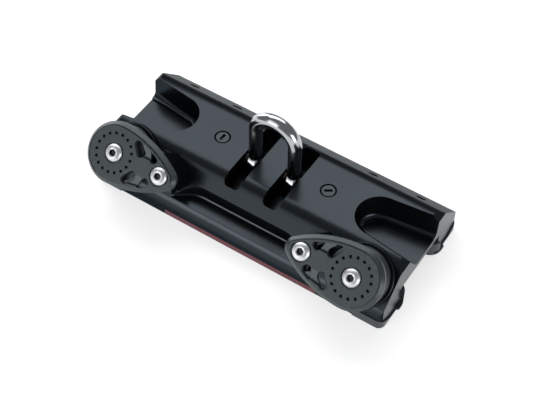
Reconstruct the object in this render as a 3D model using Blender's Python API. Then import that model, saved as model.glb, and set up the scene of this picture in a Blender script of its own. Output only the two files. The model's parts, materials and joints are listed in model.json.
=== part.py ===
"""Mainsheet traveller car with a toggling shackle and two cheek blocks.

The car is a milled aluminium saddle that rolls along a track on two rows of captive balls. A shackle
pivots in two slots in its crown, and a ball bearing sheave block is screwed to each end of its near slope.
Units are metres. X runs along the track, Y across it and Z up. The origin is on the ceiling of the track
channel, at mid length. A block's own frame has its origin on the slope under the sheave's axis, with z out
of the slope, y up the slope and x along the car.
"""
import math

import bmesh
import bpy
from mathutils import Matrix, Vector

MM = 0.001

# Saddle
LENGTH = 259 * MM
HALF_WIDTH = 58 * MM
CROWN_HEIGHT = 27 * MM          # crown above the ceiling of the track channel
LEG_DEPTH = 17.5 * MM           # legs below that ceiling
SHOULDER = 28.5 * MM            # half width where the crown's plane meets the slope's
SLOPE_ANGLE = math.radians(45)
CROWN_RADIUS = 17 * MM
CORNER_RADIUS = 5 * MM          # upright corners, seen from above
END_CHAMFER = 5.5 * MM          # crown's edge at each end
LEG_CHAMFER = 0.6 * MM
ARC_STEPS = 8

# Track channel
CHANNEL_HALF = 28.3 * MM        # where the track's head and the ball guides go
LIP_HALF = 24 * MM              # lip that keeps a guide in its leg
LIP_HEIGHT = 2 * MM

# Scoops milled out of both ends of the crown
SCOOP_START = LENGTH / 2 - 56 * MM          # from mid length to the round inner end
SCOOP_RADIUS = 19.5 * MM
SCOOP_FLOOR = 6.2 * MM          # web left over the channel
SCOOP_FLARE = 4.5 * MM          # how much wider the mouth is, on each side
SCOOP_FOOT = 5 * MM             # half width of the floor on the near side, under its sloping wall
SCOOP_DRAFT = 1.2 * MM
SCOOP_FILLET = 4 * MM
SCOOP_STEP = 1.6 * MM           # shallow pocket in the floor
SCOOP_STEP_INSET = 6 * MM

# Line pocket in the near slope
POCKET_STRAIGHT = 36 * MM       # mid length to the start of a curved end
POCKET_WALL_Y = 41.4 * MM
POCKET_FLOOR = 1.5 * MM
POCKET_BEND = 24 * MM           # radius of the wall's bend
POCKET_TURN = 36                # degrees the wall turns before it runs out to a point
POCKET_LEDGE = 0.8 * MM         # step at the wall's foot
POCKET_LEDGE_TOP = 3.4 * MM

# Shackle and its slots
ROD = 10.8 * MM
LEG_SPACING = 34.6 * MM
BOW_HEIGHT = 46.5 * MM          # rod's centre over the crown, at the top of the bow
PIVOT_DEPTH = 9 * MM            # pin's axis under the crown
EYE_DIAMETER = 16.6 * MM
PIN_DIAMETER = 8 * MM
PIN_FIT = 0.3 * MM
PIN_SEAT = 7 * MM               # how far the pin runs into the saddle past a slot
SLOT_WIDTH = 14.5 * MM
SLOT_NEAR = 34.5 * MM
SLOT_FAR = 29 * MM
SLOT_CORNER = 4 * MM
EYE_CLEARANCE = 1.2 * MM
SWING_NEAR = 70                 # degrees, for the record
SWING_FAR = 60

# Slotted plugs over the pin's ends
PLUG_X = 47.7 * MM
PLUG_DIAMETER = 11 * MM
PLUG_LENGTH = 9.5 * MM
PLUG_GAP = 1 * MM               # open ring round a plug
PLUG_SLOT = (6.6 * MM, 2.4 * MM, 2.2 * MM)
PLUG_TURN = (math.radians(90), math.radians(33))

# Ball guides and end caps
FIT = 0.3 * MM                  # gap between pieces that touch
TRACK_HALF = 19.8 * MM          # inner face of a guide
GUIDE_TOP = 6 * MM              # under the ceiling
BALL = 8 * MM
BALL_PITCH = 11.4 * MM
BALL_PROUD = 1.7 * MM
SOLE = 1.4 * MM                 # under the legs
SOLE_HALF = 57.4 * MM
CAP_LENGTH = 26.8 * MM
CAP_PROUD = 3 * MM              # past the saddle's end face, at its round lead-in by the track
CAP_LEAD = 31 * MM              # half width where the lead-in's curve starts
CAP_EDGE = 1.3 * MM             # past the saddle's end face, outside the lead-in
CAP_EDGE_INNER = 36 * MM
CAP_CORNER = 6 * MM
CAP_TOP = 9.5 * MM              # cap's outer edge under the ceiling, where the leg is cut away for it
CAP_FOOT = 44 * MM              # half width where that slanting cut reaches the leg's foot

# Cheek blocks, heights counted from the slope
SHEAVE_X = LENGTH / 2 - 25 * MM
NOSE_PITCH = 41.8 * MM          # sheave's axis to the nose screw's
SHEAVE_UP = 21.65 * MM          # sheave's axis above the slope's lower edge, along the slope
BASE_THICKNESS = 4.6 * MM
BASE_RADIUS = 24.4 * MM
FACE_HEIGHT = 27.9 * MM         # outer cheek's face
CHEEK_THICKNESS = 4.6 * MM
CHEEK_ROUND = 24.2 * MM
CHEEK_NOSE = 8.8 * MM
CHEEK_REACH = 47 * MM           # sheave's axis to the centre of the nose's curve
CHEEK_FLANK = 90 * MM
CHEEK_CHAMFER = 2.6 * MM
RIM_WIDTH = 1.8 * MM
RIM_HEIGHT = 0.8 * MM
RING_RADIUS = 15.15 * MM
RING_COUNT = 17
RING_HOLE = 2.4 * MM
WINDOW_ROUND = 1.3 * MM
WEB_DEPTH = (0.4 * MM, 2.4 * MM)    # sink of the web between two windows, at its inner and its outer end

# Sheave and its bearing
SHEAVE_RADIUS = 22.2 * MM
SHEAVE_WIDTH = 15.2 * MM
GROOVE_BOTTOM = 19.4 * MM
SHEAVE_BORE = 17.5 * MM
RUNNING_GAP = 0.4 * MM
HUB_RADIUS = 12.8 * MM
BEARING_BALL = 4.1 * MM
CAGE = (14.6 * MM, 15.7 * MM, 1.3 * MM)

# Button head screws
SCREW_DIAMETER = 8 * MM
HEAD_DIAMETER = 14.2 * MM
HEAD_HEIGHT = 4.2 * MM
SOCKET = 5 * MM                 # across flats
SOCKET_DEPTH = 2.4 * MM
SCREW_DEPTH = 11 * MM           # thread in the saddle
SCREW_SINK = 1.4 * MM           # head's seat under the cheek's face
SCREW_DOME = (0, 28, 56)        # degrees up the head's curve
SEAT_MARGIN = 0.8 * MM          # open ring round a head

SIDES = (("left", -1), ("right", 1))

SLOPE_NORMAL = Vector((0, -math.sin(SLOPE_ANGLE), math.cos(SLOPE_ANGLE)))
SLOPE_UP = Vector((0, math.cos(SLOPE_ANGLE), math.sin(SLOPE_ANGLE)))
SLOPE_FOOT = Vector((0, -HALF_WIDTH, CROWN_HEIGHT - (HALF_WIDTH - SHOULDER) * math.tan(SLOPE_ANGLE)))
PIVOT_Z = CROWN_HEIGHT - PIVOT_DEPTH


def material(name, colour, roughness, metallic):
    """Plain surface with the colour, roughness and metallic value of one finish."""
    made = bpy.data.materials.new(name)
    made.use_nodes = True
    shader = made.node_tree.nodes["Principled BSDF"]
    shader.inputs["Base Color"].default_value = (*colour, 1)
    shader.inputs["Roughness"].default_value = roughness
    shader.inputs["Metallic"].default_value = metallic
    made.diffuse_color = (*colour, 1)
    return made


def add(name, bm, finish=None, place=None):
    """Link a bmesh as an object; without a finish it is a cutter, left out of the model."""
    bmesh.ops.recalc_face_normals(bm, faces=bm.faces)
    mesh = bpy.data.meshes.new(name)
    bm.to_mesh(mesh)
    bm.free()
    made = bpy.data.objects.new(name, mesh)
    bpy.context.scene.collection.objects.link(made)
    if place is not None:
        made.matrix_world = place
    if finish is None:
        made.hide_render = True
        made.display_type = "WIRE"
    else:
        mesh.materials.append(finish)
        mesh.shade_smooth()
        mesh.set_sharp_from_angle(angle=math.radians(35))
    return made


def combine(target, tool, operation="DIFFERENCE"):
    """Cut a tool from the target, join it on, or keep what both share."""
    modifier = target.modifiers.new(tool.name, "BOOLEAN")
    modifier.operation = operation
    modifier.object = tool
    modifier.solver = "EXACT"


def arc(centre, radius, start, end, steps=ARC_STEPS):
    """Points on an arc, from one angle to another, in degrees."""
    turns = [math.radians(start + (end - start) * i / steps) for i in range(steps + 1)]
    return [(centre[0] + radius * math.cos(t), centre[1] + radius * math.sin(t)) for t in turns]


def prism(outline, low, high, axis="Z"):
    """Solid between two levels of one axis over a flat outline in the other two, in X, Y, Z order."""
    place = {"X": lambda a, b, c: (c, a, b), "Y": lambda a, b, c: (a, c, b), "Z": lambda a, b, c: (a, b, c)}[axis]
    bm = bmesh.new()
    face = bm.faces.new([bm.verts.new(place(a, b, low)) for a, b in outline])
    top = bmesh.ops.extrude_face_region(bm, geom=[face])["geom"]
    step = Vector(place(0, 0, high - low))
    bmesh.ops.translate(bm, vec=step, verts=[g for g in top if isinstance(g, bmesh.types.BMVert)])
    return bm


def loft(rings):
    """Solid through rings of points, matched one to one, closed by the first and the last."""
    bm = bmesh.new()
    rows = [[bm.verts.new(point) for point in ring] for ring in rings]
    bm.faces.new(rows[0])
    bm.faces.new(rows[-1])
    for below, above in zip(rows, rows[1:]):
        for i in range(len(below)):
            bm.faces.new((below[i - 1], below[i], above[i], above[i - 1]))
    return bm


def cylinder(diameter, low, high, segments=32):
    """Round bar along Z between two levels."""
    bm = bmesh.new()
    middle = Matrix.Translation((0, 0, (low + high) / 2))
    bmesh.ops.create_cone(bm, cap_ends=True, segments=segments, radius1=diameter / 2,
                          radius2=diameter / 2, depth=high - low, matrix=middle)
    return bm


def turned(profile, segments=48):
    """Solid turned round Z from a profile of radius and height, closed or starting and ending on the axis."""
    bm = bmesh.new()
    verts = [bm.verts.new((r, 0, z)) for r, z in profile]
    pairs = list(zip(verts, verts[1:] + verts[:1]))
    edges = [bm.edges.new(pair) for pair in pairs if pair[0].co.x > 0 or pair[1].co.x > 0]
    bmesh.ops.spin(bm, geom=verts + edges, cent=(0, 0, 0), axis=(0, 0, 1), angle=2 * math.pi,
                   steps=segments, use_merge=True)
    bmesh.ops.remove_doubles(bm, verts=bm.verts, dist=1e-6)
    return bm


def rounded_rectangle(half_x, half_y, radius, steps=5):
    """Outline of a rectangle with round corners."""
    outline = []
    for sx, sy, start in ((1, 1, 0), (-1, 1, 90), (-1, -1, 180), (1, -1, 270)):
        centre = (sx * (half_x - radius), sy * (half_y - radius))
        outline += arc(centre, radius, start, start + 90, steps)
    return outline


def rounded(corners, radius, steps=3):
    """Outline through a convex ring of corners, each one rounded."""
    outline = []
    count = len(corners)
    for i in range(count):
        here = Vector(corners[i])
        back = (Vector(corners[i - 1]) - here).normalized()
        ahead = (Vector(corners[(i + 1) % count]) - here).normalized()
        half = back.angle(ahead) / 2
        centre = here + (back + ahead).normalized() * radius / math.sin(half)
        start = here + back * radius / math.tan(half) - centre
        end = here + ahead * radius / math.tan(half) - centre
        first = math.degrees(math.atan2(start.y, start.x))
        turn = (math.degrees(math.atan2(end.y, end.x)) - first + 180) % 360 - 180
        outline += arc(centre, radius, first, first + turn, steps)
    return outline


def moved(outline, dx, dy):
    """Outline shifted in its own plane."""
    return [(x + dx, y + dy) for x, y in outline]


def along_x(x, y, z):
    """Place that turns a piece made along Z to lie along X."""
    return Matrix.Translation((x, y, z)) @ Matrix.Rotation(math.pi / 2, 4, "Y")


def slope_place(x, far=False, height=0.0):
    """Frame on a slope, level with the sheaves' axes, at a distance along the car and above the slope."""
    point = SLOPE_FOOT + SLOPE_UP * SHEAVE_UP + SLOPE_NORMAL * height
    if far:
        return Matrix.Translation((x, -point.y, point.z)) @ Matrix.Rotation(-SLOPE_ANGLE, 4, "X")
    return Matrix.Translation((x, point.y, point.z)) @ Matrix.Rotation(SLOPE_ANGLE, 4, "X")


def saddle_section():
    """Outline across the saddle: crown, round shoulders, slopes, sides and legs, without the channel."""
    run = CROWN_RADIUS * math.tan(SLOPE_ANGLE / 2)
    centre = (SHOULDER - run, CROWN_HEIGHT - CROWN_RADIUS)
    half = arc(centre, CROWN_RADIUS, 90, 90 - math.degrees(SLOPE_ANGLE))
    half.append((HALF_WIDTH, SLOPE_FOOT.z))
    half.append((HALF_WIDTH, LEG_CHAMFER - LEG_DEPTH))
    half.append((HALF_WIDTH - LEG_CHAMFER, -LEG_DEPTH))
    return half + [(-y, z) for y, z in reversed(half)]


def saddle_side():
    """Outline of the saddle from the side, with the crown's chamfered ends."""
    half = [(LENGTH / 2 - END_CHAMFER, CROWN_HEIGHT + FIT), (LENGTH / 2 - END_CHAMFER, CROWN_HEIGHT)]
    half += [(LENGTH / 2, CROWN_HEIGHT - END_CHAMFER), (LENGTH / 2, -2 * LEG_DEPTH)]
    return half + [(-x, z) for x, z in reversed(half)]


def channel_section():
    """Outline of the track channel, with the lip that keeps each ball guide."""
    lip = LIP_HEIGHT - LEG_DEPTH
    half = [(CHANNEL_HALF, 0), (CHANNEL_HALF, lip), (LIP_HALF, lip), (LIP_HALF, -2 * LEG_DEPTH)]
    return half + [(-y, z) for y, z in reversed(half)]


def scoop_outline(side, far, near):
    """Plan of a scoop with its half widths either side of the middle, flared from its round end to its mouth."""
    straight = SCOOP_START + SCOOP_RADIUS
    mouth = LENGTH / 2 + SCOOP_RADIUS
    flare = SCOOP_FLARE * (mouth - straight) / (LENGTH / 2 - straight)
    bend = [(straight + x, y * near / far if y < 0 else y)
            for x, y in arc((0, 0), far, 90, 270, 2 * ARC_STEPS)]
    return [(side * x, y) for x, y in [(mouth, far + flare)] + bend + [(mouth, -near - flare)]]


def scoop_cutter(name, side):
    """Cutter for a scoop: its floor drawn up through a fillet and a slight draft to over the crown."""
    levels = []
    for i in range(5):
        turn = math.pi / 2 * i / 4
        levels.append((SCOOP_FLOOR + SCOOP_FILLET * (1 - math.cos(turn)), SCOOP_FILLET * (1 - math.sin(turn))))
    levels.append((CROWN_HEIGHT + FIT, -SCOOP_DRAFT))
    rings = []
    for level, pull in levels:
        rise = (level - SCOOP_FLOOR) / (CROWN_HEIGHT - SCOOP_FLOOR)
        near = SCOOP_FOOT + (SCOOP_RADIUS - SCOOP_FOOT) * rise
        rings.append([(x, y, level) for x, y in scoop_outline(side, SCOOP_RADIUS - SCOOP_DRAFT - pull, near)])
    return add(name, loft(rings))


def pocket_outline(inset=0.0):
    """Plan of the line pocket: a straight wall whose ends bend outward and run out to points on the slope."""
    bend = POCKET_BEND - inset
    right = arc((POCKET_STRAIGHT, -POCKET_WALL_Y - POCKET_BEND), bend, 90, 90 - POCKET_TURN)
    x, y = right[-1]
    past = 2 * HALF_WIDTH
    right.append((x + (past + y) / math.tan(math.radians(POCKET_TURN)), -past))
    return right + [(-x, y) for x, y in reversed(right)]


def make_saddle(finish):
    """Milled body: section, plan and side outlines in common, then every pocket, slot and bore."""
    saddle = add("car_body", prism(saddle_section(), -LENGTH / 2, LENGTH / 2, "X"), finish)
    plan = rounded_rectangle(LENGTH / 2 + FIT, HALF_WIDTH, CORNER_RADIUS)
    combine(saddle, add("trim_plan", prism(plan, -2 * LEG_DEPTH, 2 * CROWN_HEIGHT)), "INTERSECT")
    combine(saddle, add("trim_side", prism(saddle_side(), -2 * HALF_WIDTH, 2 * HALF_WIDTH, "Y")), "INTERSECT")
    combine(saddle, add("cut_channel", prism(channel_section(), -LENGTH, LENGTH, "X")))

    for name, side in SIDES:
        combine(saddle, scoop_cutter("cut_scoop_" + name, side))
        step = scoop_outline(side, SCOOP_RADIUS - SCOOP_STEP_INSET, SCOOP_FOOT - SCOOP_STEP)
        combine(saddle, add("cut_step_" + name, prism(step, SCOOP_FLOOR - SCOOP_STEP, SCOOP_FLOOR + MM)))
        slot = rounded_rectangle(SLOT_WIDTH / 2, (SLOT_FAR + SLOT_NEAR) / 2, SLOT_CORNER)
        slot = moved(slot, side * LEG_SPACING / 2, (SLOT_FAR - SLOT_NEAR) / 2)
        slot_floor = PIVOT_Z - EYE_DIAMETER / 2 - EYE_CLEARANCE
        combine(saddle, add("cut_slot_" + name, prism(slot, slot_floor, CROWN_HEIGHT + FIT)))
        plug = cylinder(PLUG_DIAMETER + 2 * PLUG_GAP, CROWN_HEIGHT - PLUG_LENGTH - FIT, CROWN_HEIGHT + FIT)
        plug_place = Matrix.Translation((side * PLUG_X, 0, 0))
        combine(saddle, add("cut_plug_" + name, plug, place=plug_place))
        for leg, across in (("near", -1), ("far", 1)):
            notch = prism([(across * y, z) for y, z in cap_notch()], *cap_span(side, FIT, HALF_WIDTH), "X")
            combine(saddle, add("cut_notch_{}_{}".format(name, leg), notch))
            for x, hole in ((SHEAVE_X, "sheave"), (SHEAVE_X - NOSE_PITCH, "nose")):
                bore = cylinder(SCREW_DIAMETER + 2 * FIT, -SCREW_DEPTH - FIT, 2 * MM, 16)
                bore_name = "cut_{}_{}_{}".format(hole, name, leg)
                combine(saddle, add(bore_name, bore, place=slope_place(side * x, leg == "far")))

    reach = pin_half_length() + FIT
    combine(saddle, add("cut_pin", cylinder(PIN_DIAMETER + 2 * PIN_FIT, -reach, reach, 20),
                        place=along_x(0, 0, PIVOT_Z)))
    combine(saddle, add("cut_pocket", prism(pocket_outline(), POCKET_LEDGE_TOP, CROWN_HEIGHT + FIT)))
    foot = prism(pocket_outline(POCKET_LEDGE), POCKET_FLOOR, POCKET_LEDGE_TOP + MM)
    combine(saddle, add("cut_pocket_foot", foot))
    return saddle


def pin_half_length():
    """Half of the shackle pin: past the outer wall of a slot by its seat."""
    return (LEG_SPACING + SLOT_WIDTH) / 2 + PIN_SEAT


def make_shackle(finish):
    """Bow of round rod whose legs end in eyes on the pin."""
    half = LEG_SPACING / 2
    spring = CROWN_HEIGHT + BOW_HEIGHT - half
    path = [(-half, 0)] + arc((0, spring - PIVOT_Z), half, 180, 0, 20) + [(half, 0)]
    curve = bpy.data.curves.new("shackle_path", "CURVE")
    curve.dimensions = "3D"
    curve.bevel_depth = ROD / 2
    curve.bevel_resolution = 4
    curve.use_fill_caps = True
    spline = curve.splines.new("POLY")
    spline.points.add(len(path) - 1)
    for point, (x, z) in zip(spline.points, path):
        point.co = (x, 0, z, 1)
    guide = bpy.data.objects.new("shackle_path", curve)
    bpy.context.scene.collection.objects.link(guide)
    bpy.context.view_layer.update()
    bm = bmesh.new()
    bm.from_mesh(guide.to_mesh())
    bmesh.ops.remove_doubles(bm, verts=bm.verts, dist=1e-6)
    bpy.data.objects.remove(guide)

    shackle = add("shackle", bm, finish, Matrix.Translation((0, 0, PIVOT_Z)))
    for name, side in SIDES:
        eye = cylinder(EYE_DIAMETER, -ROD / 2, ROD / 2, 24)
        rims = [e for e in eye.edges if abs(e.verts[0].co.z - e.verts[1].co.z) < FIT]
        bmesh.ops.bevel(eye, geom=rims, offset=1.5 * MM, segments=1, profile=0.5, affect="EDGES", material=-1)
        combine(shackle, add("eye_" + name, eye, place=along_x(side * half, 0, PIVOT_Z)), "UNION")
    bore = cylinder(PIN_DIAMETER + 2 * PIN_FIT, -half - ROD, half + ROD, 20)
    combine(shackle, add("cut_eyes", bore, place=along_x(0, 0, PIVOT_Z)))
    return shackle


def make_pin(finish):
    """Pin through the eyes and the wall between the slots, with eased ends."""
    half = pin_half_length()
    ease = 0.8 * MM
    profile = [(0, half), (PIN_DIAMETER / 2 - ease, half), (PIN_DIAMETER / 2, half - ease)]
    return add("shackle_pin", turned(profile + [(r, -z) for r, z in reversed(profile)], 20), finish,
               along_x(0, 0, PIVOT_Z))


def make_plugs(finish):
    """Slotted plugs, flush with the crown."""
    length, width, depth = PLUG_SLOT
    for (name, side), turn in zip(SIDES, PLUG_TURN):
        ease = 0.5 * MM
        radius = PLUG_DIAMETER / 2
        profile = [(0, 0), (radius - ease, 0), (radius, -ease), (radius, -PLUG_LENGTH), (0, -PLUG_LENGTH)]
        place = Matrix.Translation((side * PLUG_X, 0, CROWN_HEIGHT)) @ Matrix.Rotation(turn, 4, "Z")
        plug = add("pin_plug_" + name, turned(profile, 24), finish, place)
        slot = prism(rounded_rectangle(length / 2, width / 2, width / 3, 3), -depth, FIT)
        combine(plug, add("cut_plug_slot_" + name, slot, place=place))


def track_side():
    """Outline of a guide or cap from its track side over its top and under the saddle's lip to the leg's foot."""
    lip = LIP_HEIGHT - LEG_DEPTH + FIT
    outer = CHANNEL_HALF - FIT
    return [(TRACK_HALF, -GUIDE_TOP - MM), (TRACK_HALF + MM, -GUIDE_TOP), (outer, -GUIDE_TOP), (outer, lip),
            (LIP_HALF - FIT, lip), (LIP_HALF - FIT, -LEG_DEPTH - FIT)]


def sole_side(half_width):
    """Rest of that outline, along the underside of the sole from its outer edge."""
    foot = -LEG_DEPTH - FIT - SOLE
    ease = SOLE / 2
    return [(half_width, foot + ease), (half_width - ease, foot), (TRACK_HALF + MM, foot), (TRACK_HALF, foot + MM)]


def ball_height():
    """Level of the track balls, in the middle of a guide's face."""
    return -(GUIDE_TOP + LEG_DEPTH) / 2


def cap_notch():
    """Outline of the slanting cut at the outer foot of a leg, which the end cap fills."""
    run, rise = HALF_WIDTH - CAP_FOOT, LEG_DEPTH - CAP_TOP
    past = 0.1                      # share of the cut added at each end
    inner, outer = CAP_FOOT - past * run, HALF_WIDTH + past * run
    return [(outer, -CAP_TOP + past * rise), (inner, -LEG_DEPTH - past * rise),
            (inner, -2 * LEG_DEPTH), (outer, -2 * LEG_DEPTH)]


def cap_plan():
    """Plan of the four end caps together: round outer corners, and a round lead-in on each side of the track."""
    end = LENGTH / 2 + CAP_PROUD
    edge = LENGTH / 2 + CAP_EDGE
    corner = arc((edge - CAP_CORNER, HALF_WIDTH - CAP_CORNER), CAP_CORNER, 90, 0, 5)
    reach = CAP_LEAD - TRACK_HALF
    lead = arc((end - reach, CAP_LEAD), reach, 0, -90, 8)
    quarter = corner + [(edge, CAP_EDGE_INNER), (end, CAP_EDGE_INNER - (end - edge))] + lead
    half = quarter + [(x, -y) for x, y in reversed(quarter)]
    return half + [(-x, -y) for x, y in half]


def cap_span(side, gap=0.0, past=0.0):
    """Ends of a cap along the car, with a gap at its inner end and an extra length past its outer one."""
    end = LENGTH / 2 + CAP_PROUD
    return sorted((side * (end - CAP_LENGTH - gap), side * (end + past)))


def make_guides(finish):
    """One guide in each leg with a sole under it, and its captive balls standing proud of its face."""
    half = cap_span(1, FIT)[0]
    count = int((2 * half - BALL) / BALL_PITCH) + 1
    for name, side in (("near", -1), ("far", 1)):
        section = track_side() + [(SOLE_HALF, -LEG_DEPTH - FIT)] + sole_side(SOLE_HALF)
        guide = prism([(side * y, z) for y, z in section], -half, half, "X")
        guide = add("ball_guide_" + name, guide, finish)
        balls = bmesh.new()
        for i in range(count):
            x = (i - (count - 1) / 2) * BALL_PITCH
            y = side * (TRACK_HALF - BALL_PROUD + BALL / 2)
            bmesh.ops.create_uvsphere(balls, u_segments=8, v_segments=4, radius=BALL / 2,
                                      matrix=Matrix.Translation((x, y, ball_height())))
        combine(guide, add("balls_" + name, balls), "UNION")


def make_caps(finish):
    """End caps that turn the balls round, each wrapped round the outer corner of its leg."""
    plan = cap_plan()
    for leg, across in (("near", -1), ("far", 1)):
        for name, side in SIDES:
            section = track_side() + [(CAP_FOOT + FIT, -LEG_DEPTH - FIT), (HALF_WIDTH + FIT, -CAP_TOP - 2 * FIT)]
            section += sole_side(HALF_WIDTH + FIT)
            section = [(across * y, z) for y, z in section]
            label = "{}_{}".format(name, leg)
            cap = add("end_cap_" + label, prism(section, *cap_span(side), "X"), finish)
            combine(cap, add("trim_cap_" + label, prism(plan, -2 * LEG_DEPTH, 0)), "INTERSECT")


def egg(margin=0.0):
    """Outline of a cheek round both screws, wider by a margin, with its nose at +X."""
    big, nose, flank = CHEEK_ROUND + margin, CHEEK_NOSE + margin, CHEEK_FLANK + margin
    near, far = flank - big, flank - nose
    cx = (near ** 2 - far ** 2 + CHEEK_REACH ** 2) / (2 * CHEEK_REACH)
    cy = math.sqrt(near ** 2 - cx ** 2)
    to_round = math.degrees(math.atan2(cy, -cx))
    to_nose = math.degrees(math.atan2(cy, CHEEK_REACH - cx))
    outline = arc((0, 0), big, to_round, 360 - to_round, 20)
    outline += arc((cx, cy), flank, 360 - to_round, 360 - to_nose, 6)[1:]
    outline += arc((CHEEK_REACH, 0), nose, -to_nose, to_nose, 10)[1:]
    outline += arc((cx, -cy), flank, to_nose, to_round, 6)[1:-1]
    return outline


def window_outlines():
    """The two windows in the upper half of a cheek, next to the sheave and next to the nose."""
    beside_ring = [(12.8, 13.8), (14.5, 17.4), (18.1, 17.8), (24.5, 10.2), (23.1, 6.1), (19.2, 5.4)]
    beside_nose = [(27.3, 15.8), (30.9, 14.8), (35.9, 12), (36.3, 8.2), (33.3, 5.7), (30.2, 6.4)]
    return [rounded([(x * MM, y * MM) for x, y in corners], WINDOW_ROUND)
            for corners in (beside_ring, beside_nose)]


def make_web(name, along, across, face, place):
    """Cutter that sinks the web between two windows, deeper towards the cheek's edge."""
    corners = [(22.8, 7.2), (23.6, 10.2), (17.4, 16.9), (28.6, 14.9), (30.2, 12), (31, 7.2)]
    outline = [(x * MM, y * MM) for x, y in corners]
    start, end = outline[0][1], outline[2][1]
    shallow, deep = WEB_DEPTH
    web = prism(flipped(outline, along, across), face - shallow, face + MM)
    for vert in web.verts:
        if vert.co.z < face:
            vert.co.z -= (deep - shallow) * (abs(vert.co.y) - start) / (end - start)
    return add(name, web, place=place)


def horn_outline():
    """Plan of the angular horn that carries the nose screw, behind the gap left for the line."""
    corners = [(33.5, -13), (33.5, 9), (29, 13.5), (36.5, 17), (46, 10), (55, -1), (50, -8.5), (43.5, -12)]
    return [(x * MM, y * MM) for x, y in corners]


def flipped(outline, along, across=1):
    """Outline mirrored lengthwise for the right block, or across for the lower windows."""
    return [(along * x, across * y) for x, y in outline]


def make_cheek(name, side, finish):
    """Outer cheek: chamfered egg plate with windows, a ring of holes, two sunk bores and a raised upper rim."""
    along = -side
    low, high = FACE_HEIGHT - CHEEK_THICKNESS, FACE_HEIGHT
    place = slope_place(side * SHEAVE_X)
    bm = prism(flipped(egg(), along), low, high)
    rim = [e for e in bm.edges if min(v.co.z for v in e.verts) > high - FIT]
    bmesh.ops.bevel(bm, geom=rim, offset=CHEEK_CHAMFER, segments=2, profile=0.5, affect="EDGES", material=-1)
    cheek = add("block_cheek_" + name, bm, finish, place)

    for number, outline in enumerate(window_outlines()):
        for part, across in (("upper", 1), ("lower", -1)):
            window = prism(flipped(outline, along, across), low - MM, high + MM)
            cutter = "cut_window_{}_{}_{}".format(name, part, number)
            combine(cheek, add(cutter, window, place=place))
    for part, across in (("upper", 1), ("lower", -1)):
        combine(cheek, make_web("cut_web_{}_{}".format(name, part), along, across, high, place))

    holes = bmesh.new()
    for i in range(RING_COUNT):
        turn = 2 * math.pi * i / RING_COUNT
        at = (RING_RADIUS * math.cos(turn), RING_RADIUS * math.sin(turn), (low + high) / 2)
        bmesh.ops.create_cone(holes, cap_ends=True, segments=6, radius1=RING_HOLE / 2, radius2=RING_HOLE / 2,
                              depth=2 * CHEEK_THICKNESS, matrix=Matrix.Translation(at))
    combine(cheek, add("cut_holes_" + name, holes, place=place))
    for x, hole in ((0, "sheave"), (along * NOSE_PITCH, "nose")):
        radius, seat = SCREW_DIAMETER / 2 + FIT, HEAD_DIAMETER / 2 + SEAT_MARGIN
        levels = [(0, low - MM), (radius, low - MM), (radius, high - SCREW_SINK), (seat, high - SCREW_SINK),
                  (seat, high + MM), (0, high + MM)]
        cutter = "cut_{}_seat_{}".format(hole, name)
        combine(cheek, add(cutter, turned(levels, 24), place=place @ Matrix.Translation((x, 0, 0))))
    combine(cheek, make_rim(name, along, high, place), "UNION")


def make_rim(name, along, face, place):
    """Raised rim along the upper flank of a cheek, from over the sheave to the nose."""
    inner = egg(-CHEEK_CHAMFER - FIT - RIM_WIDTH)
    outer = egg(-CHEEK_CHAMFER - FIT)
    upper = [i for i, (x, y) in enumerate(outer) if y > 0 and x > -CHEEK_NOSE / 3]
    upper.sort(key=lambda i: outer[i][0])
    band = [outer[i] for i in upper] + [inner[i] for i in reversed(upper)]
    return add("rim_" + name, prism(flipped(band, along), face - FIT, face + RIM_HEIGHT), place=place)


def make_base(name, side, finish):
    """Inner cheek that lies on the slope under the sheave, with the horn that holds the nose screw."""
    along = -side
    place = slope_place(side * SHEAVE_X)
    disc = cylinder(2 * BASE_RADIUS, FIT, BASE_THICKNESS, 48)
    rim = [e for e in disc.edges if min(v.co.z for v in e.verts) > BASE_THICKNESS - FIT]
    bmesh.ops.bevel(disc, geom=rim, offset=MM, segments=1, profile=0.5, affect="EDGES", material=-1)
    base = add("block_base_" + name, disc, finish, place)
    horn = horn_outline()
    neck = [(0, horn[0][1]), (horn[4][0], horn[0][1]), horn[4], horn[3], horn[2], (0, horn[2][1])]
    neck_plate = prism(flipped(neck, along), FIT, BASE_THICKNESS - FIT)
    combine(base, add("neck_" + name, neck_plate, place=place), "UNION")
    post = prism(flipped(horn, along), FIT / 2, FACE_HEIGHT - CHEEK_THICKNESS - FIT)
    combine(base, add("horn_" + name, post, place=place), "UNION")
    for x, hole in ((0, "sheave"), (along * NOSE_PITCH, "nose")):
        bore = cylinder(SCREW_DIAMETER + 2 * FIT, -MM, FACE_HEIGHT, 20)
        combine(base, add("cut_base_{}_{}".format(hole, name), bore, place=place @ Matrix.Translation((x, 0, 0))))


def sheave_levels():
    """Lowest and highest level of a sheave between its base and its outer cheek."""
    middle = (BASE_THICKNESS + FACE_HEIGHT - CHEEK_THICKNESS) / 2
    return middle - SHEAVE_WIDTH / 2, middle + SHEAVE_WIDTH / 2


def make_sheave(name, side, finish):
    """Grooved sheave with a wide bore for the bearing's balls."""
    low, high = sheave_levels()
    middle = (low + high) / 2
    lip = 1.5 * MM
    groove = (SHEAVE_WIDTH - 2 * lip) / 2
    bed = [(GROOVE_BOTTOM + (SHEAVE_RADIUS - GROOVE_BOTTOM) * (1 - math.cos(math.pi * t / 2)),
            middle + groove * math.sin(math.pi * t / 2)) for t in (-1, -0.6, -0.25, 0.25, 0.6, 1)]
    profile = [(SHEAVE_BORE, low), (SHEAVE_RADIUS, low)] + bed + [(SHEAVE_RADIUS, high), (SHEAVE_BORE, high)]
    add("sheave_" + name, turned(profile, 36), finish, slope_place(side * SHEAVE_X))


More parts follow.
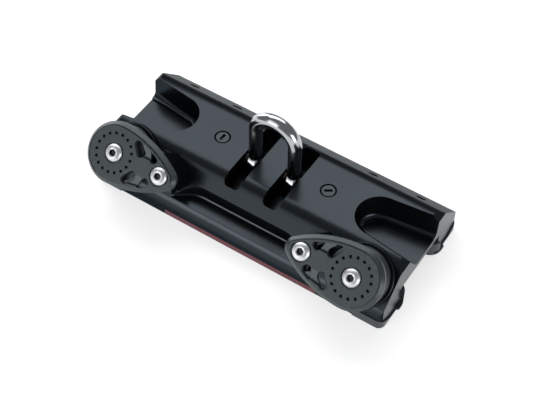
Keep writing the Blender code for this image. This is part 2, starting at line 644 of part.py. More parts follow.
def make_bearing(name, side, hub_finish, ball_finish):
    """Fixed hub round the screw, and the ring of balls in its cage between hub and sheave."""
    place = slope_place(side * SHEAVE_X)
    low, high = BASE_THICKNESS + FIT, FACE_HEIGHT - CHEEK_THICKNESS - FIT
    inner = SCREW_DIAMETER / 2 + FIT
    hub = [(inner, low), (HUB_RADIUS, low), (HUB_RADIUS, high), (inner, high)]
    add("sheave_hub_" + name, turned(hub, 24), hub_finish, place)

    middle = (low + high) / 2
    cage_in, cage_out, cage_height = CAGE
    cage = [(cage_in, middle - cage_height / 2), (cage_out, middle - cage_height / 2),
            (cage_out, middle + cage_height / 2), (cage_in, middle + cage_height / 2)]
    ring = add("ball_ring_" + name, turned(cage, RING_COUNT), ball_finish, place)
    balls = bmesh.new()
    for i in range(RING_COUNT):
        turn = 2 * math.pi * i / RING_COUNT
        at = (RING_RADIUS * math.cos(turn), RING_RADIUS * math.sin(turn), middle)
        bmesh.ops.create_uvsphere(balls, u_segments=6, v_segments=4, radius=BEARING_BALL / 2,
                                  matrix=Matrix.Translation(at))
    combine(ring, add("ring_balls_" + name, balls, place=place), "UNION")


def make_screw(name, x, finish):
    """Button head screw through the cheek into the saddle, with a hexagon socket."""
    seat = FACE_HEIGHT - SCREW_SINK + FIT
    place = slope_place(x, height=seat)
    tip = -seat - SCREW_DEPTH
    radius = SCREW_DIAMETER / 2
    dome = [(HEAD_DIAMETER / 2 * math.cos(t), 0.6 * MM + (HEAD_HEIGHT - 0.6 * MM) * math.sin(t))
            for t in [math.radians(a) for a in SCREW_DOME]]
    profile = [(0, tip), (radius - MM, tip), (radius, tip + MM), (radius, 0), (HEAD_DIAMETER / 2, 0)]
    profile += dome + [(0, dome[-1][1])]
    screw = add(name, turned(profile, 18), finish, place)
    top = dome[-1][1]
    socket = cylinder(SOCKET / math.cos(math.pi / 6), top - SOCKET_DEPTH, top + MM, 6)
    combine(screw, add("socket_" + name, socket, place=place))


def main():
    """Clear the scene and build every piece."""
    for old in list(bpy.data.objects):
        bpy.data.objects.remove(old)
    anodised = material("anodised_grey", (0.095, 0.11, 0.125), 0.42, 0.6)
    composite = material("black_composite", (0.05, 0.055, 0.06), 0.5, 0.0)
    steel = material("polished_steel", (0.74, 0.75, 0.76), 0.14, 1.0)
    acetal = material("white_acetal", (0.75, 0.75, 0.72), 0.4, 0.0)
    plug_steel = material("dark_steel", (0.2, 0.21, 0.22), 0.4, 0.9)

    make_saddle(anodised)
    make_shackle(steel)
    make_pin(steel)
    make_plugs(plug_steel)
    make_guides(composite)
    make_caps(composite)
    for name, side in SIDES:
        make_base(name, side, anodised)
        make_cheek(name, side, composite)
        make_sheave(name, side, composite)
        make_bearing(name, side, composite, acetal)
        make_screw("sheave_screw_" + name, side * SHEAVE_X, steel)
        make_screw("nose_screw_" + name, side * (SHEAVE_X - NOSE_PITCH), steel)


main()
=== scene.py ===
"""Studio scene of a mainsheet traveller car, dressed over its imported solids.

The car's frame has X along the track, Y across it and Z up, with its origin on the ceiling of the track
channel. A cheek block is made in a frame of its own, with z out of the near slope, y up the slope and x from
the sheave's axis towards the car's middle, and is then put in place. Units are metres.
"""
from __future__ import annotations

import json
import logging
import math
from dataclasses import dataclass, field
from enum import Enum

import bmesh
import bpy
from bmesh.types import BMesh, BMEdge, BMFace, BMVert
from mathutils import Matrix, Vector

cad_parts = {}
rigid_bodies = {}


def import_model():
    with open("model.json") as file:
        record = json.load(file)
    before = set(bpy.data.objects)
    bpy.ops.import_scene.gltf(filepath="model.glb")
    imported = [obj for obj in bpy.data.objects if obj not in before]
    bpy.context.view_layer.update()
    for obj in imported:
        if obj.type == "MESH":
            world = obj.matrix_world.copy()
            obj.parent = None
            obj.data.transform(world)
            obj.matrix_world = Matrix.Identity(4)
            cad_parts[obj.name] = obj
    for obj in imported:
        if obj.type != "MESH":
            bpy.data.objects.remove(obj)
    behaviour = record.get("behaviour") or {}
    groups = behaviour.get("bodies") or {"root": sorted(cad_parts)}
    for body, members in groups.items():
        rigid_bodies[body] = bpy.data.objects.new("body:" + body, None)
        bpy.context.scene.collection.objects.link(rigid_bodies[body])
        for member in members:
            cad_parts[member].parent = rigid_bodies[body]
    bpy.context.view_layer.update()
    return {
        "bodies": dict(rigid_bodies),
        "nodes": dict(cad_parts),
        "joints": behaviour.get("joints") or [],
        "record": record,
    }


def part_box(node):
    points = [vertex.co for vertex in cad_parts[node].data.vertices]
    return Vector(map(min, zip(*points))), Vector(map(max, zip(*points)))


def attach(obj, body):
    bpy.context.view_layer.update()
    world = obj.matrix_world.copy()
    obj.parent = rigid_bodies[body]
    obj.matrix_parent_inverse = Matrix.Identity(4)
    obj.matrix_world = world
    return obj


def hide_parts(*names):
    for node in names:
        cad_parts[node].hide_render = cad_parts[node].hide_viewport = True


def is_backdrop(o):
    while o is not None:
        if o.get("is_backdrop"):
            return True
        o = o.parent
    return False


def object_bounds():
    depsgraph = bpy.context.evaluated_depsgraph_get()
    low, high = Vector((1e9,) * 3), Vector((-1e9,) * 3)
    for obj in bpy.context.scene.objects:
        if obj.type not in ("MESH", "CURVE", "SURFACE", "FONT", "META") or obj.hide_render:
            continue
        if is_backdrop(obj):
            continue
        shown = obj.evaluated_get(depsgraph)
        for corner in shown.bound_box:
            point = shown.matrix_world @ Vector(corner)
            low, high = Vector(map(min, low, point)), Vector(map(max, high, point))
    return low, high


LOG = logging.getLogger("traveller_car")
MM = 0.001
MERGE = 1e-6
SAME_PLANE = math.radians(0.6)
CORNER_ANGLE = 60.0
FACET_ANGLE = 30.0
ROUND_STEPS = 3
WINDOW_STEPS = 5

Colour = tuple[float, float, float]
Point = tuple[float, float, float]
Flat = tuple[float, float]


class Effect(Enum):
    """Shader node groups that several finishes share."""

    GRAIN = "surface_grain"
    DRIFT = "tone_drift"
    # Outer edges made lighter: partly wear, partly a painted highlight.
    POLISHED_EDGE = "polished_edge"
    DUST = "settled_dust"


class Body(Enum):
    """Rigid bodies of the car that a piece can ride on."""

    CAR = "car"
    SHACKLE = "shackle"
    SHEAVE_LEFT = "sheave_left"
    SHEAVE_RIGHT = "sheave_right"
    RING_LEFT = "ball_ring_left"
    RING_RIGHT = "ball_ring_right"


class Side(Enum):
    """Ends of the car, by the sign of X."""

    LEFT = -1
    RIGHT = 1

    @property
    def word(self) -> str:
        """Name of this end in the names of pieces and joints."""
        return self.name.lower()


class Join(Enum):
    """Ways to combine two closed shapes, by Blender's names."""

    UNITE = "UNION"
    CUT = "DIFFERENCE"


def feed(tree: bpy.types.NodeTree, node: bpy.types.Node, inputs: dict[str | int, object]) -> None:
    """Give a node's inputs their links or plain values.

    Args:
        tree: tree that the node is in.
        node: the node.
        inputs: socket to link from, or plain value, by the input's name or number.
    """
    for name, value in inputs.items():
        if isinstance(value, bpy.types.NodeSocket):
            tree.links.new(value, node.inputs[name])
        else:
            node.inputs[name].default_value = value


def add_node(tree: bpy.types.NodeTree, kind: str, inputs: dict[str | int, object],
             **options: object) -> bpy.types.Node:
    """Node with its options and inputs set.

    Args:
        tree: tree that gets the node.
        kind: Blender's name of the node.
        inputs: socket to link from, or plain value, by the input's name or number.
        **options: the node's own options.

    Returns:
        The new node.
    """
    node = tree.nodes.new(kind)
    for option, value in options.items():
        setattr(node, option, value)
    feed(tree, node, inputs)
    return node


def math_node(tree: bpy.types.NodeTree, operation: str, first: bpy.types.NodeSocket,
              second: bpy.types.NodeSocket | float, clamp: bool = False) -> bpy.types.NodeSocket:
    """Output of a math node.

    Args:
        tree: tree that gets the node.
        operation: Blender's name of the operation.
        first: socket to link from.
        second: socket to link from, or a number.
        clamp: whether the result is held between 0 and 1.

    Returns:
        The node's output socket.
    """
    inputs = {0: first, 1: second}
    return add_node(tree, "ShaderNodeMath", inputs, operation=operation, use_clamp=clamp).outputs[0]


class EffectShop:
    """Builds each shared shader node group once."""

    SOCKETS = {float: "NodeSocketFloat", tuple: "NodeSocketColor", type(None): "NodeSocketVector"}
    NOISE_MIDDLE = 0.5
    BROAD_SHARE = 0.06
    EDGE_PATCHES = 160.0
    DUST_SPECKS = 900.0

    def __init__(self) -> None:
        """Start with no group made."""
        self._made: dict[Effect, bpy.types.NodeTree] = {}

    def get(self, effect: Effect) -> bpy.types.NodeTree:
        """Group of an effect, made on its first use.

        Args:
            effect: which shared group is wanted.

        Returns:
            The node tree of the group.
        """
        if effect not in self._made:
            makers = {Effect.GRAIN: self._grain, Effect.DRIFT: self._drift,
                      Effect.POLISHED_EDGE: self._polished_edge, Effect.DUST: self._dust}
            self._made[effect] = makers[effect]()
        return self._made[effect]

    def _open(self, effect: Effect, inputs: dict[str, object], outputs: dict[str, type]
              ) -> tuple[bpy.types.NodeTree, bpy.types.NodeOutputs, bpy.types.NodeInputs]:
        """Empty group with its named sockets.

        Args:
            effect: the group's name.
            inputs: default value by name, or None for coordinates.
            outputs: type of the values by name.

        Returns:
            The tree, the sockets that bring its inputs and the sockets that take its outputs.
        """
        tree = bpy.data.node_groups.new(effect.value, "ShaderNodeTree")
        for name, value in inputs.items():
            socket = tree.interface.new_socket(name, in_out="INPUT", socket_type=self.SOCKETS[type(value)])
            if value is not None:
                socket.default_value = value
        for name, kind in outputs.items():
            tree.interface.new_socket(name, in_out="OUTPUT", socket_type=self.SOCKETS[kind])
        return tree, tree.nodes.new("NodeGroupInput").outputs, tree.nodes.new("NodeGroupOutput").inputs

    @staticmethod
    def _noise(tree: bpy.types.NodeTree, where: bpy.types.NodeSocket, scale: bpy.types.NodeSocket | float,
               detail: float) -> bpy.types.NodeSocket:
        """Noise over the surface.

        Args:
            tree: tree that gets the node.
            where: socket of coordinates.
            scale: cells in a metre, as a socket or a number.
            detail: octaves.

        Returns:
            Socket of the noise value.
        """
        inputs = {"Vector": where, "Scale": scale, "Detail": detail}
        return add_node(tree, "ShaderNodeTexNoise", inputs).outputs["Fac"]

    def _grain(self) -> bpy.types.NodeTree:
        """Fine grain: roughness that varies about its middle, and a height for bump.

        Returns:
            The group's tree.
        """
        tree, given, made = self._open(
            Effect.GRAIN, {"Vector": None, "Scale": 2500.0, "Roughness": 0.4, "Spread": 0.06},
            {"Roughness": float, "Height": float})
        fine = self._noise(tree, given["Vector"], given["Scale"], 2.0)
        broad_scale = math_node(tree, "MULTIPLY", given["Scale"], self.BROAD_SHARE)
        broad = self._noise(tree, given["Vector"], broad_scale, 3.0)
        swing = math_node(tree, "SUBTRACT", broad, self.NOISE_MIDDLE)
        spread = math_node(tree, "MULTIPLY", swing, given["Spread"])
        tree.links.new(math_node(tree, "ADD", given["Roughness"], spread), made["Roughness"])
        tree.links.new(fine, made["Height"])
        return tree

    def _drift(self) -> bpy.types.NodeTree:
        """Slow wander of a tone, as anodising and mouldings show under soft light.

        Returns:
            The group's tree.
        """
        tree, given, made = self._open(
            Effect.DRIFT, {"Vector": None, "Colour": (0.1, 0.1, 0.1, 1.0), "Amount": 0.15, "Scale": 25.0},
            {"Colour": tuple})
        cloud = self._noise(tree, given["Vector"], given["Scale"], 4.0)
        swing = math_node(tree, "MULTIPLY", math_node(tree, "SUBTRACT", cloud, self.NOISE_MIDDLE), 2.0)
        gain = math_node(tree, "ADD", math_node(tree, "MULTIPLY", swing, given["Amount"]), 1.0)
        scaled = add_node(tree, "ShaderNodeVectorMath", {0: given["Colour"], "Scale": gain},
                          operation="SCALE")
        tree.links.new(scaled.outputs[0], made["Colour"])
        return tree

    def _polished_edge(self) -> bpy.types.NodeTree:
        """Mask of outer edges, where handling has polished the surface and where a painted highlight lightens
        them.

        Returns:
            The group's tree.
        """
        tree, given, made = self._open(
            Effect.POLISHED_EDGE, {"Vector": None, "Start": 0.52, "Full": 0.62}, {"Mask": float})
        shape = tree.nodes.new("ShaderNodeNewGeometry")
        ramp = add_node(tree, "ShaderNodeMapRange", {"Value": shape.outputs["Pointiness"],
                                                     "From Min": given["Start"], "From Max": given["Full"]})
        patchy = self._noise(tree, given["Vector"], self.EDGE_PATCHES, 3.0)
        tree.links.new(math_node(tree, "MULTIPLY", ramp.outputs["Result"], patchy), made["Mask"])
        return tree

    def _dust(self) -> bpy.types.NodeTree:
        """Mask of fine dust that settles on faces that look up.

        Returns:
            The group's tree.
        """
        tree, given, made = self._open(Effect.DUST, {"Vector": None, "Amount": 0.04}, {"Mask": float})
        shape = tree.nodes.new("ShaderNodeNewGeometry")
        split = add_node(tree, "ShaderNodeSeparateXYZ", {0: shape.outputs["Normal"]})
        upward = math_node(tree, "MAXIMUM", split.outputs["Z"], 0.0)
        specks = self._noise(tree, given["Vector"], self.DUST_SPECKS, 5.0)
        settled = math_node(tree, "MULTIPLY", upward, specks)
        tree.links.new(math_node(tree, "MULTIPLY", settled, given["Amount"]), made["Mask"])
        return tree


@dataclass(frozen=True)
class Finish:
    """Surface of one material, with its colours in linear light and its sizes in metres."""

    name: str
    colour: Colour
    roughness: float
    metallic: float = 0.0
    specular: float = 0.5
    tint: Colour = (1.0, 1.0, 1.0)
    # Edge colour and share lighten outer edges: worn edges, partly a painted highlight.
    edge_colour: Colour = (0.3, 0.3, 0.3)
    edge_share: float = 0.0
    dust_colour: Colour = (0.45, 0.44, 0.42)
    dust_share: float = 0.0
    drift: float = 0.12
    drift_scale: float = 25.0
    grain_scale: float = 2500.0
    grain_depth: float = 0.00002
    grain_strength: float = 0.6
    spread: float = 0.08

    def material(self, shop: EffectShop) -> bpy.types.Material:
        """Material of this finish, from the shared groups and one Principled shader.

        Args:
            shop: where the shared groups come from.

        Returns:
            The new material.
        """
        made = bpy.data.materials.new(self.name)
        made.use_nodes = True
        tree = made.node_tree
        where = tree.nodes.new("ShaderNodeTexCoord").outputs["Object"]
        tone = self._group(tree, shop, Effect.DRIFT, where, Amount=self.drift, Scale=self.drift_scale,
                           Colour=(*self.colour, 1.0))["Colour"]
        # Outer edges mixed towards edge_colour: worn, polished edges and a painted highlight.
        if self.edge_share > 0:
            edges = self._group(tree, shop, Effect.POLISHED_EDGE, where)["Mask"]
            share = math_node(tree, "MULTIPLY", edges, self.edge_share, clamp=True)
            tone = self._over(tree, tone, share, self.edge_colour)
        if self.dust_share > 0:
            dust = self._group(tree, shop, Effect.DUST, where, Amount=self.dust_share)["Mask"]
            tone = self._over(tree, tone, dust, self.dust_colour)
        grain = self._group(tree, shop, Effect.GRAIN, where, Scale=self.grain_scale,
                            Roughness=self.roughness, Spread=self.spread)
        bump = add_node(tree, "ShaderNodeBump", {"Height": grain["Height"], "Distance": self.grain_depth,
                                                 "Strength": self.grain_strength})
        feed(tree, tree.nodes["Principled BSDF"], {
            "Base Color": tone, "Metallic": self.metallic, "Roughness": grain["Roughness"],
            "Specular IOR Level": self.specular, "Specular Tint": (*self.tint, 1.0),
            "Normal": bump.outputs["Normal"]})
        return made

    @staticmethod
    def _group(tree: bpy.types.NodeTree, shop: EffectShop, effect: Effect, where: bpy.types.NodeSocket,
               **values: object) -> bpy.types.NodeOutputs:
        """Shared group placed in a material, with its own values.

        Args:
            tree: the material's tree.
            shop: where the group comes from.
            effect: which group.
            where: socket of coordinates.
            **values: input values by socket name.

        Returns:
            The group's output sockets.
        """
        node = tree.nodes.new("ShaderNodeGroup")
        node.node_tree = shop.get(effect)
        feed(tree, node, {"Vector": where, **values})
        return node.outputs

    @staticmethod
    def _over(tree: bpy.types.NodeTree, under: bpy.types.NodeSocket, share: bpy.types.NodeSocket,
              colour: Colour) -> bpy.types.NodeSocket:
        """Colour laid over another.

        Args:
            tree: the material's tree.
            under: socket of the colour below.
            share: socket that says how much of the top colour shows.
            colour: the colour on top.

        Returns:
            Socket of the mixed colour.
        """
        mix = add_node(tree, "ShaderNodeMix", {"Factor": share, "A": under, "B": (*colour, 1.0)},
                       data_type="RGBA")
        return mix.outputs["Result"]


ANODISED = Finish("dark_anodised_aluminium", (0.0305, 0.0368, 0.0425), 0.25, metallic=0.9,
                  tint=(0.23, 0.255, 0.265), dust_share=0.02, drift=0.1, grain_scale=3200.0,
                  grain_depth=0.000008)
COMPOSITE = Finish("glass_filled_composite", (0.033, 0.043, 0.047), 0.32, tint=(0.88, 0.98, 1.0),
                   edge_colour=(0.12, 0.125, 0.135), edge_share=0.55, dust_share=0.02, drift=0.14,
                   grain_scale=1700.0)
# End faces: a brighter, more metallic copy of the anodised finish, a painted reflection of the floor.
END_FACE_SHEEN = Finish("milled_end_face", (0.05, 0.056, 0.062), 0.3, metallic=0.8, drift=0.1, grain_scale=3000.0,
                    grain_depth=0.00001)
SHEAVE_GREY = Finish("dark_grey_sheave", (0.030, 0.036, 0.041), 0.36, tint=(0.85, 0.96, 1.0),
                     edge_colour=(0.13, 0.135, 0.14), edge_share=0.4, drift=0.1)
POLISHED_STEEL = Finish("polished_stainless", (0.46, 0.475, 0.485), 0.14, metallic=1.0, drift=0.04,
                        grain_scale=900.0, grain_depth=0.000004)
SCREW_STEEL = Finish("satin_stainless", (0.74, 0.75, 0.755), 0.42, metallic=1.0, drift=0.05,
                     grain_scale=1800.0, grain_depth=0.000008, spread=0.12)
PIN_STEEL = Finish("pin_stainless", (0.62, 0.63, 0.64), 0.3, metallic=1.0, drift=0.06)
# Dark cup in each hex socket: painted shade for the socket's deep shadow.
SOCKET_SHADE = Finish("greased_socket", (0.03, 0.031, 0.033), 0.42, metallic=0.8, drift=0.2)
PLUG_GREY = Finish("anodised_plug", (0.018, 0.022, 0.026), 0.28, specular=0.45, tint=(0.75, 0.9, 1.0),
                   edge_colour=(0.16, 0.17, 0.18), edge_share=0.5, drift=0.1)
WHITE_ACETAL = Finish("white_acetal", (0.62, 0.61, 0.56), 0.32, drift=0.05)
RED_PAINT = Finish("dark_red_stripe", (0.15, 0.013, 0.03), 0.4, drift=0.1, grain_scale=2000.0)


class Bench:
    """Puts finished meshes into the scene as pieces that ride on a body."""

    def __init__(self) -> None:
        """Start with an empty stock of materials."""
        self._shop = EffectShop()
        self._stock: dict[Finish, bpy.types.Material] = {}

    def material(self, finish: Finish) -> bpy.types.Material:
        """Material of a finish, made on its first use.

        Args:
            finish: the surface.

        Returns:
            The material.
        """
        if finish not in self._stock:
            self._stock[finish] = finish.material(self._shop)
        return self._stock[finish]

    def place(self, name: str, bm: BMesh, finish: Finish, body: Body,
              replaces: tuple[str, ...] = (), where: Matrix | None = None,
              sharp: float = 38.0) -> bpy.types.Object:
        """Turn a bmesh into a piece, with its place in its mesh.

        Args:
            name: name of the piece.
            bm: the shape, which is used up.
            finish: its surface.
            body: the body that it rides on.
            replaces: nodes that it stands for.
            where: its place; a mirroring one turns its faces round again.
            sharp: angle in degrees past which an edge is shaded sharp.

        Returns:
            The new object.
        """
        if where is not None:
            bmesh.ops.transform(bm, matrix=where, verts=bm.verts)
            if where.determinant() < 0:
                bmesh.ops.reverse_faces(bm, faces=bm.faces)
        mesh = bpy.data.meshes.new(name)
        bm.to_mesh(mesh)
        bm.free()
        mesh.materials.append(self.material(finish))
        mesh.shade_smooth()
        mesh.set_sharp_from_angle(angle=math.radians(sharp))
        made = bpy.data.objects.new(name, mesh)
        bpy.context.scene.collection.objects.link(made)
        even = made.modifiers.new("even_shading", "WEIGHTED_NORMAL")
        even.keep_sharp = True
        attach(made, body.value)
        if replaces:
            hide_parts(*replaces)
        LOG.info("%s rides on %s, %d faces", name, body.value, len(mesh.polygons))
        return made


def merged(node: bpy.types.Object) -> BMesh:
    """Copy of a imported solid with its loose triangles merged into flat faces.

    Args:
        node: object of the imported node.

    Returns:
        The merged copy.
    """
    bm = bmesh.new()
    bm.from_mesh(node.data)
    bmesh.ops.remove_doubles(bm, verts=bm.verts, dist=10 * MERGE)
    bmesh.ops.dissolve_limit(bm, angle_limit=SAME_PLANE, verts=bm.verts, edges=bm.edges, delimit={"NORMAL"})
    return bm


def sharp_edges(bm: BMesh, least: float, floor: float = -math.inf) -> list[BMEdge]:
    """Edges whose two faces meet at more than an angle.

    Args:
        bm: the shape.
        least: the angle in degrees.
        floor: level that both ends of an edge lie above.

    Returns:
        The edges.
    """
    limit = math.radians(least)
    return [e for e in bm.edges if len(e.link_faces) == 2 and e.calc_face_angle(0.0) > limit
            and min(v.co.z for v in e.verts) > floor]


def ease(bm: BMesh, edges: list[BMEdge], width: float, segments: int = 2, clamp: bool = True) -> None:
    """Round edges over, or chamfer them with one segment.

    Args:
        bm: the shape.
        edges: edges to round.
        width: how far from the edge the rounding starts.
        segments: faces across the rounding.
        clamp: whether roundings that would meet stay apart.
    """
    bmesh.ops.bevel(bm, geom=edges, offset=width, offset_type="OFFSET", segments=segments, profile=0.5,
                    affect="EDGES", clamp_overlap=clamp, material=-1)


def turned(profile: list[Flat], steps: int, closed: bool = False) -> BMesh:
    """Shape turned round Z from a profile of radius and height.

    Args:
        profile: points of the profile, bottom to top or round a section.
        steps: faces round the axis.
        closed: whether the last point joins the first.

    Returns:
        The turned shape, with its faces outwards.
    """
    bm = bmesh.new()
    verts = [bm.verts.new((radius, 0.0, height)) for radius, height in profile]
    pairs = list(zip(verts, verts[1:]))
    if closed:
        pairs.append((verts[-1], verts[0]))
    edges = [bm.edges.new(pair) for pair in pairs]
    bmesh.ops.spin(bm, geom=verts + edges, cent=(0, 0, 0), axis=(0, 0, 1), angle=math.tau, steps=steps,
                   use_merge=True)
    bmesh.ops.remove_doubles(bm, verts=bm.verts, dist=MERGE)
    bmesh.ops.recalc_face_normals(bm, faces=bm.faces)
    return bm


def arc(centre: Flat, radius: float, start: float, end: float, steps: int) -> list[Flat]:
    """Points of an arc.

    Args:
        centre: middle of the arc.
        radius: its radius.
        start: first angle in degrees.
        end: last angle in degrees.
        steps: how many parts it has.

    Returns:
        The points, with both ends.
    """
    turns = [math.radians(start + (end - start) * i / steps) for i in range(steps + 1)]
    return [(centre[0] + radius * math.cos(t), centre[1] + radius * math.sin(t)) for t in turns]


def ring_places(count: int, radius: float, level: float) -> list[Matrix]:
    """Places spread evenly round Z, each turned with its place.

    Args:
        count: how many places.
        radius: how far they lie from the axis.
        level: their height.

    Returns:
        A matrix for each place.
    """
    out = Matrix.Translation((radius, 0.0, level))
    return [Matrix.Rotation(math.tau * number / count, 4, "Z") @ out for number in range(count)]


def combined(first: BMesh, second: BMesh, join: Join) -> BMesh:
    """Two closed shapes united, or the second cut from the first.

    Args:
        first: the shape that stays, which is used up.
        second: the shape that is joined on or cut away, which is used up too.
        join: how they are combined.

    Returns:
        The new shape.
    """
    pair = []
    for bm in (first, second):
        mesh = bpy.data.meshes.new("combined")
        bm.to_mesh(mesh)
        bm.free()
        pair.append(bpy.data.objects.new("combined", mesh))
        bpy.context.scene.collection.objects.link(pair[-1])
    modifier = pair[0].modifiers.new("join", "BOOLEAN")
    modifier.operation = join.value
    modifier.object = pair[1]
    modifier.solver = "EXACT"
    graph = bpy.context.evaluated_depsgraph_get()
    made = bmesh.new()
    made.from_object(pair[0], graph)
    for used in pair:
        bpy.data.meshes.remove(used.data)
    return made


def take_in(bm: BMesh, part: BMesh) -> None:
    """Add a closed part to a shape as a further shell.

    Args:
        bm: the shape.
        part: the part, which is used up.
    """
    spare = bpy.data.meshes.new("spare")
    part.to_mesh(spare)
    part.free()
    bm.from_mesh(spare)
    bpy.data.meshes.remove(spare)


def closed_ring(bm: BMesh, outline: list[Flat], level: float) -> list[BMVert]:
    """Ring of edges through the points of an outline.

    Args:
        bm: shape that gets the ring.
        outline: its points.
        level: its height.

    Returns:
        The ring's vertices.
    """
    verts = [bm.verts.new((x, y, level)) for x, y in outline]
    for pair in zip(verts, verts[1:] + verts[:1]):
        bm.edges.new(pair)
    return verts


def rounded_ring(bm: BMesh, corners: list[Flat], radius: float, level: float) -> None:
    """Ring of edges through corners that are rounded over.

    Args:
        bm: shape that gets the ring.
        corners: points of a convex ring.
        radius: how far each corner is cut back.
        level: height of the ring.
    """
    verts = [bm.verts.new((x, y, level)) for x, y in corners]
    bm.faces.new(verts)
    bmesh.ops.bevel(bm, geom=verts, offset=radius, segments=WINDOW_STEPS, profile=0.5, affect="VERTICES",
                    material=-1)
    bmesh.ops.delete(bm, geom=list(bm.faces), context="FACES_ONLY")


def fill_level(bm: BMesh, edges: list[BMEdge]) -> None:
    """Fill a level outline and leave the rings inside it open."""
    bmesh.ops.triangle_fill(bm, edges=edges, use_beauty=True, use_dissolve=False, normal=(0, 0, 1))


def raise_faces(bm: BMesh, faces: list[BMFace], lift: Point) -> None:
    """Make a solid of flat faces, with its faces outwards.

    Args:
        bm: the shape.
        faces: the faces that become one end of the solid.
        lift: how far away the other end is.
    """
    made = bmesh.ops.extrude_face_region(bm, geom=faces, use_keep_orig=True)["geom"]
    bmesh.ops.translate(bm, vec=lift, verts=[g for g in made if isinstance(g, BMVert)])
    bmesh.ops.recalc_face_normals(bm, faces=bm.faces)


def prism(corners: list[Point], lift: Point) -> BMesh:
    """Solid between a flat ring of corners and the same ring moved.

    Args:
        corners: the ring's corners.
        lift: how far away the other end is.

    Returns:
        The solid.
    """
    bm = bmesh.new()
    raise_faces(bm, [bm.faces.new([bm.verts.new(corner) for corner in corners])], lift)
    return bm


@dataclass
class Egg:
    """Outline of a block round its two screws: a round end, two flank arcs and a nose."""

    pitch: float = 41.8 * MM
    reach: float = 47.0 * MM
    round_end: float = 24.2 * MM
    nose: float = 8.8 * MM
    flank: float = 90.0 * MM
    end_steps: int = 64
    flank_steps: int = 18
    nose_steps: int = 28

    def points(self, margin: float = 0.0) -> list[Flat]:
        """Outline widened by a margin, counted from the top of the round end and round by the sheave.

        Args:
            margin: how much wider all round.

        Returns:
            The outline's points.
        """
        big, nose, flank = self.round_end + margin, self.nose + margin, self.flank + margin
        near, far = flank - big, flank - nose
        cx = (near ** 2 - far ** 2 + self.reach ** 2) / (2 * self.reach)
        cy = math.sqrt(near ** 2 - cx ** 2)
        to_round = math.degrees(math.atan2(cy, -cx))
        to_nose = math.degrees(math.atan2(cy, self.reach - cx))
        outline = arc((0.0, 0.0), big, to_round, 360 - to_round, self.end_steps)
        outline += arc((cx, cy), flank, 360 - to_round, 360 - to_nose, self.flank_steps)[1:]
        outline += arc((self.reach, 0.0), nose, -to_nose, to_nose, self.nose_steps)[1:]
        outline += arc((cx, -cy), flank, to_nose, to_round, self.flank_steps)[1:-1]
        return outline


@dataclass
class ButtonScrew:
    """Button head screw with a hexagon socket, counted from under its head."""

    shank: float = 8.0 * MM
    reach: float = 37.8 * MM
    tip_chamfer: float = 1.0 * MM
    head: float = 14.2 * MM
    head_rise: float = 4.2 * MM
    rim_round: float = 0.25 * MM
    rim_height: float = 0.5 * MM
    dome_foot: float = 0.6 * MM
    dome_angles: tuple[int, ...] = (6, 16, 26, 36, 46, 56)
    mouth: float = 3.4 * MM
    mouth_step: Flat = (0.3 * MM, 0.15 * MM)
    socket: float = 2.89 * MM
    socket_start: float = 0.35 * MM
    socket_depth: float = 2.4 * MM
    lining_start: float = 0.5 * MM
    lining_gap: float = 0.02 * MM
    lining_wall: float = 0.1 * MM
    facets: int = 60

    def _dome(self, angle: int) -> Flat:
        """Radius and height of the domed head at an angle in degrees."""
        turn, rise = math.radians(angle), self.head_rise - self.dome_foot
        return self.head / 2 * math.cos(turn), self.dome_foot + rise * math.sin(turn)

    def solid(self) -> BMesh:
        """Screw with its domed head and open socket.

        Returns:
            The shape.
        """
        radius, shank = self.head / 2, self.shank / 2
        top = self._dome(self.dome_angles[-1])[1]
        step_in, step_down = self.mouth_step
        bm = turned([(0.0, -self.reach), (shank - self.tip_chamfer, -self.reach),
                     (shank, self.tip_chamfer - self.reach), (shank, 0.0), (radius - self.rim_round, 0.0),
                     (radius, self.rim_round), (radius, self.rim_height),
                     *(self._dome(angle) for angle in self.dome_angles),
                     (self.mouth, top), (self.mouth - step_in, top - step_down)], self.facets)
        rim = [e for e in bm.edges if e.is_boundary]
        bmesh.ops.create_circle(bm, cap_ends=False, segments=6, radius=self.socket,
                                matrix=Matrix.Translation((0, 0, top - self.socket_start)))
        hexagon = [e for e in bm.edges if e.is_wire]
        fill_level(bm, rim + hexagon)
        wall = bmesh.ops.extrude_edge_only(bm, edges=hexagon)["geom"]
        deep = [g for g in wall if isinstance(g, BMVert)]
        bmesh.ops.translate(bm, vec=(0, 0, self.socket_start - self.socket_depth), verts=deep)
        bmesh.ops.contextual_create(bm, geom=deep)
        bmesh.ops.recalc_face_normals(bm, faces=bm.faces)
        return bm

    def lining(self) -> BMesh:
        """Thin dark cup that lines the socket: painted shade for the shadow deep inside it.

        Returns:
            The shape.
        """
        top = self._dome(self.dome_angles[-1])[1]
        low, high = top - self.socket_depth + self.lining_gap, top - self.lining_start
        radius = self.socket - self.lining_gap
        bm = bmesh.new()
        bmesh.ops.create_cone(bm, cap_ends=True, segments=6, radius1=radius, radius2=radius, depth=high - low,
                              matrix=Matrix.Translation((0, 0, (low + high) / 2)))
        lid = [f for f in bm.faces if f.calc_center_median().z > high - MERGE]
        bmesh.ops.inset_region(bm, faces=lid, thickness=self.lining_wall)
        well = bmesh.ops.extrude_discrete_faces(bm, faces=lid)["faces"]
        bmesh.ops.translate(bm, vec=(0, 0, low - high + self.lining_wall), verts=list(well[0].verts))
        return bm


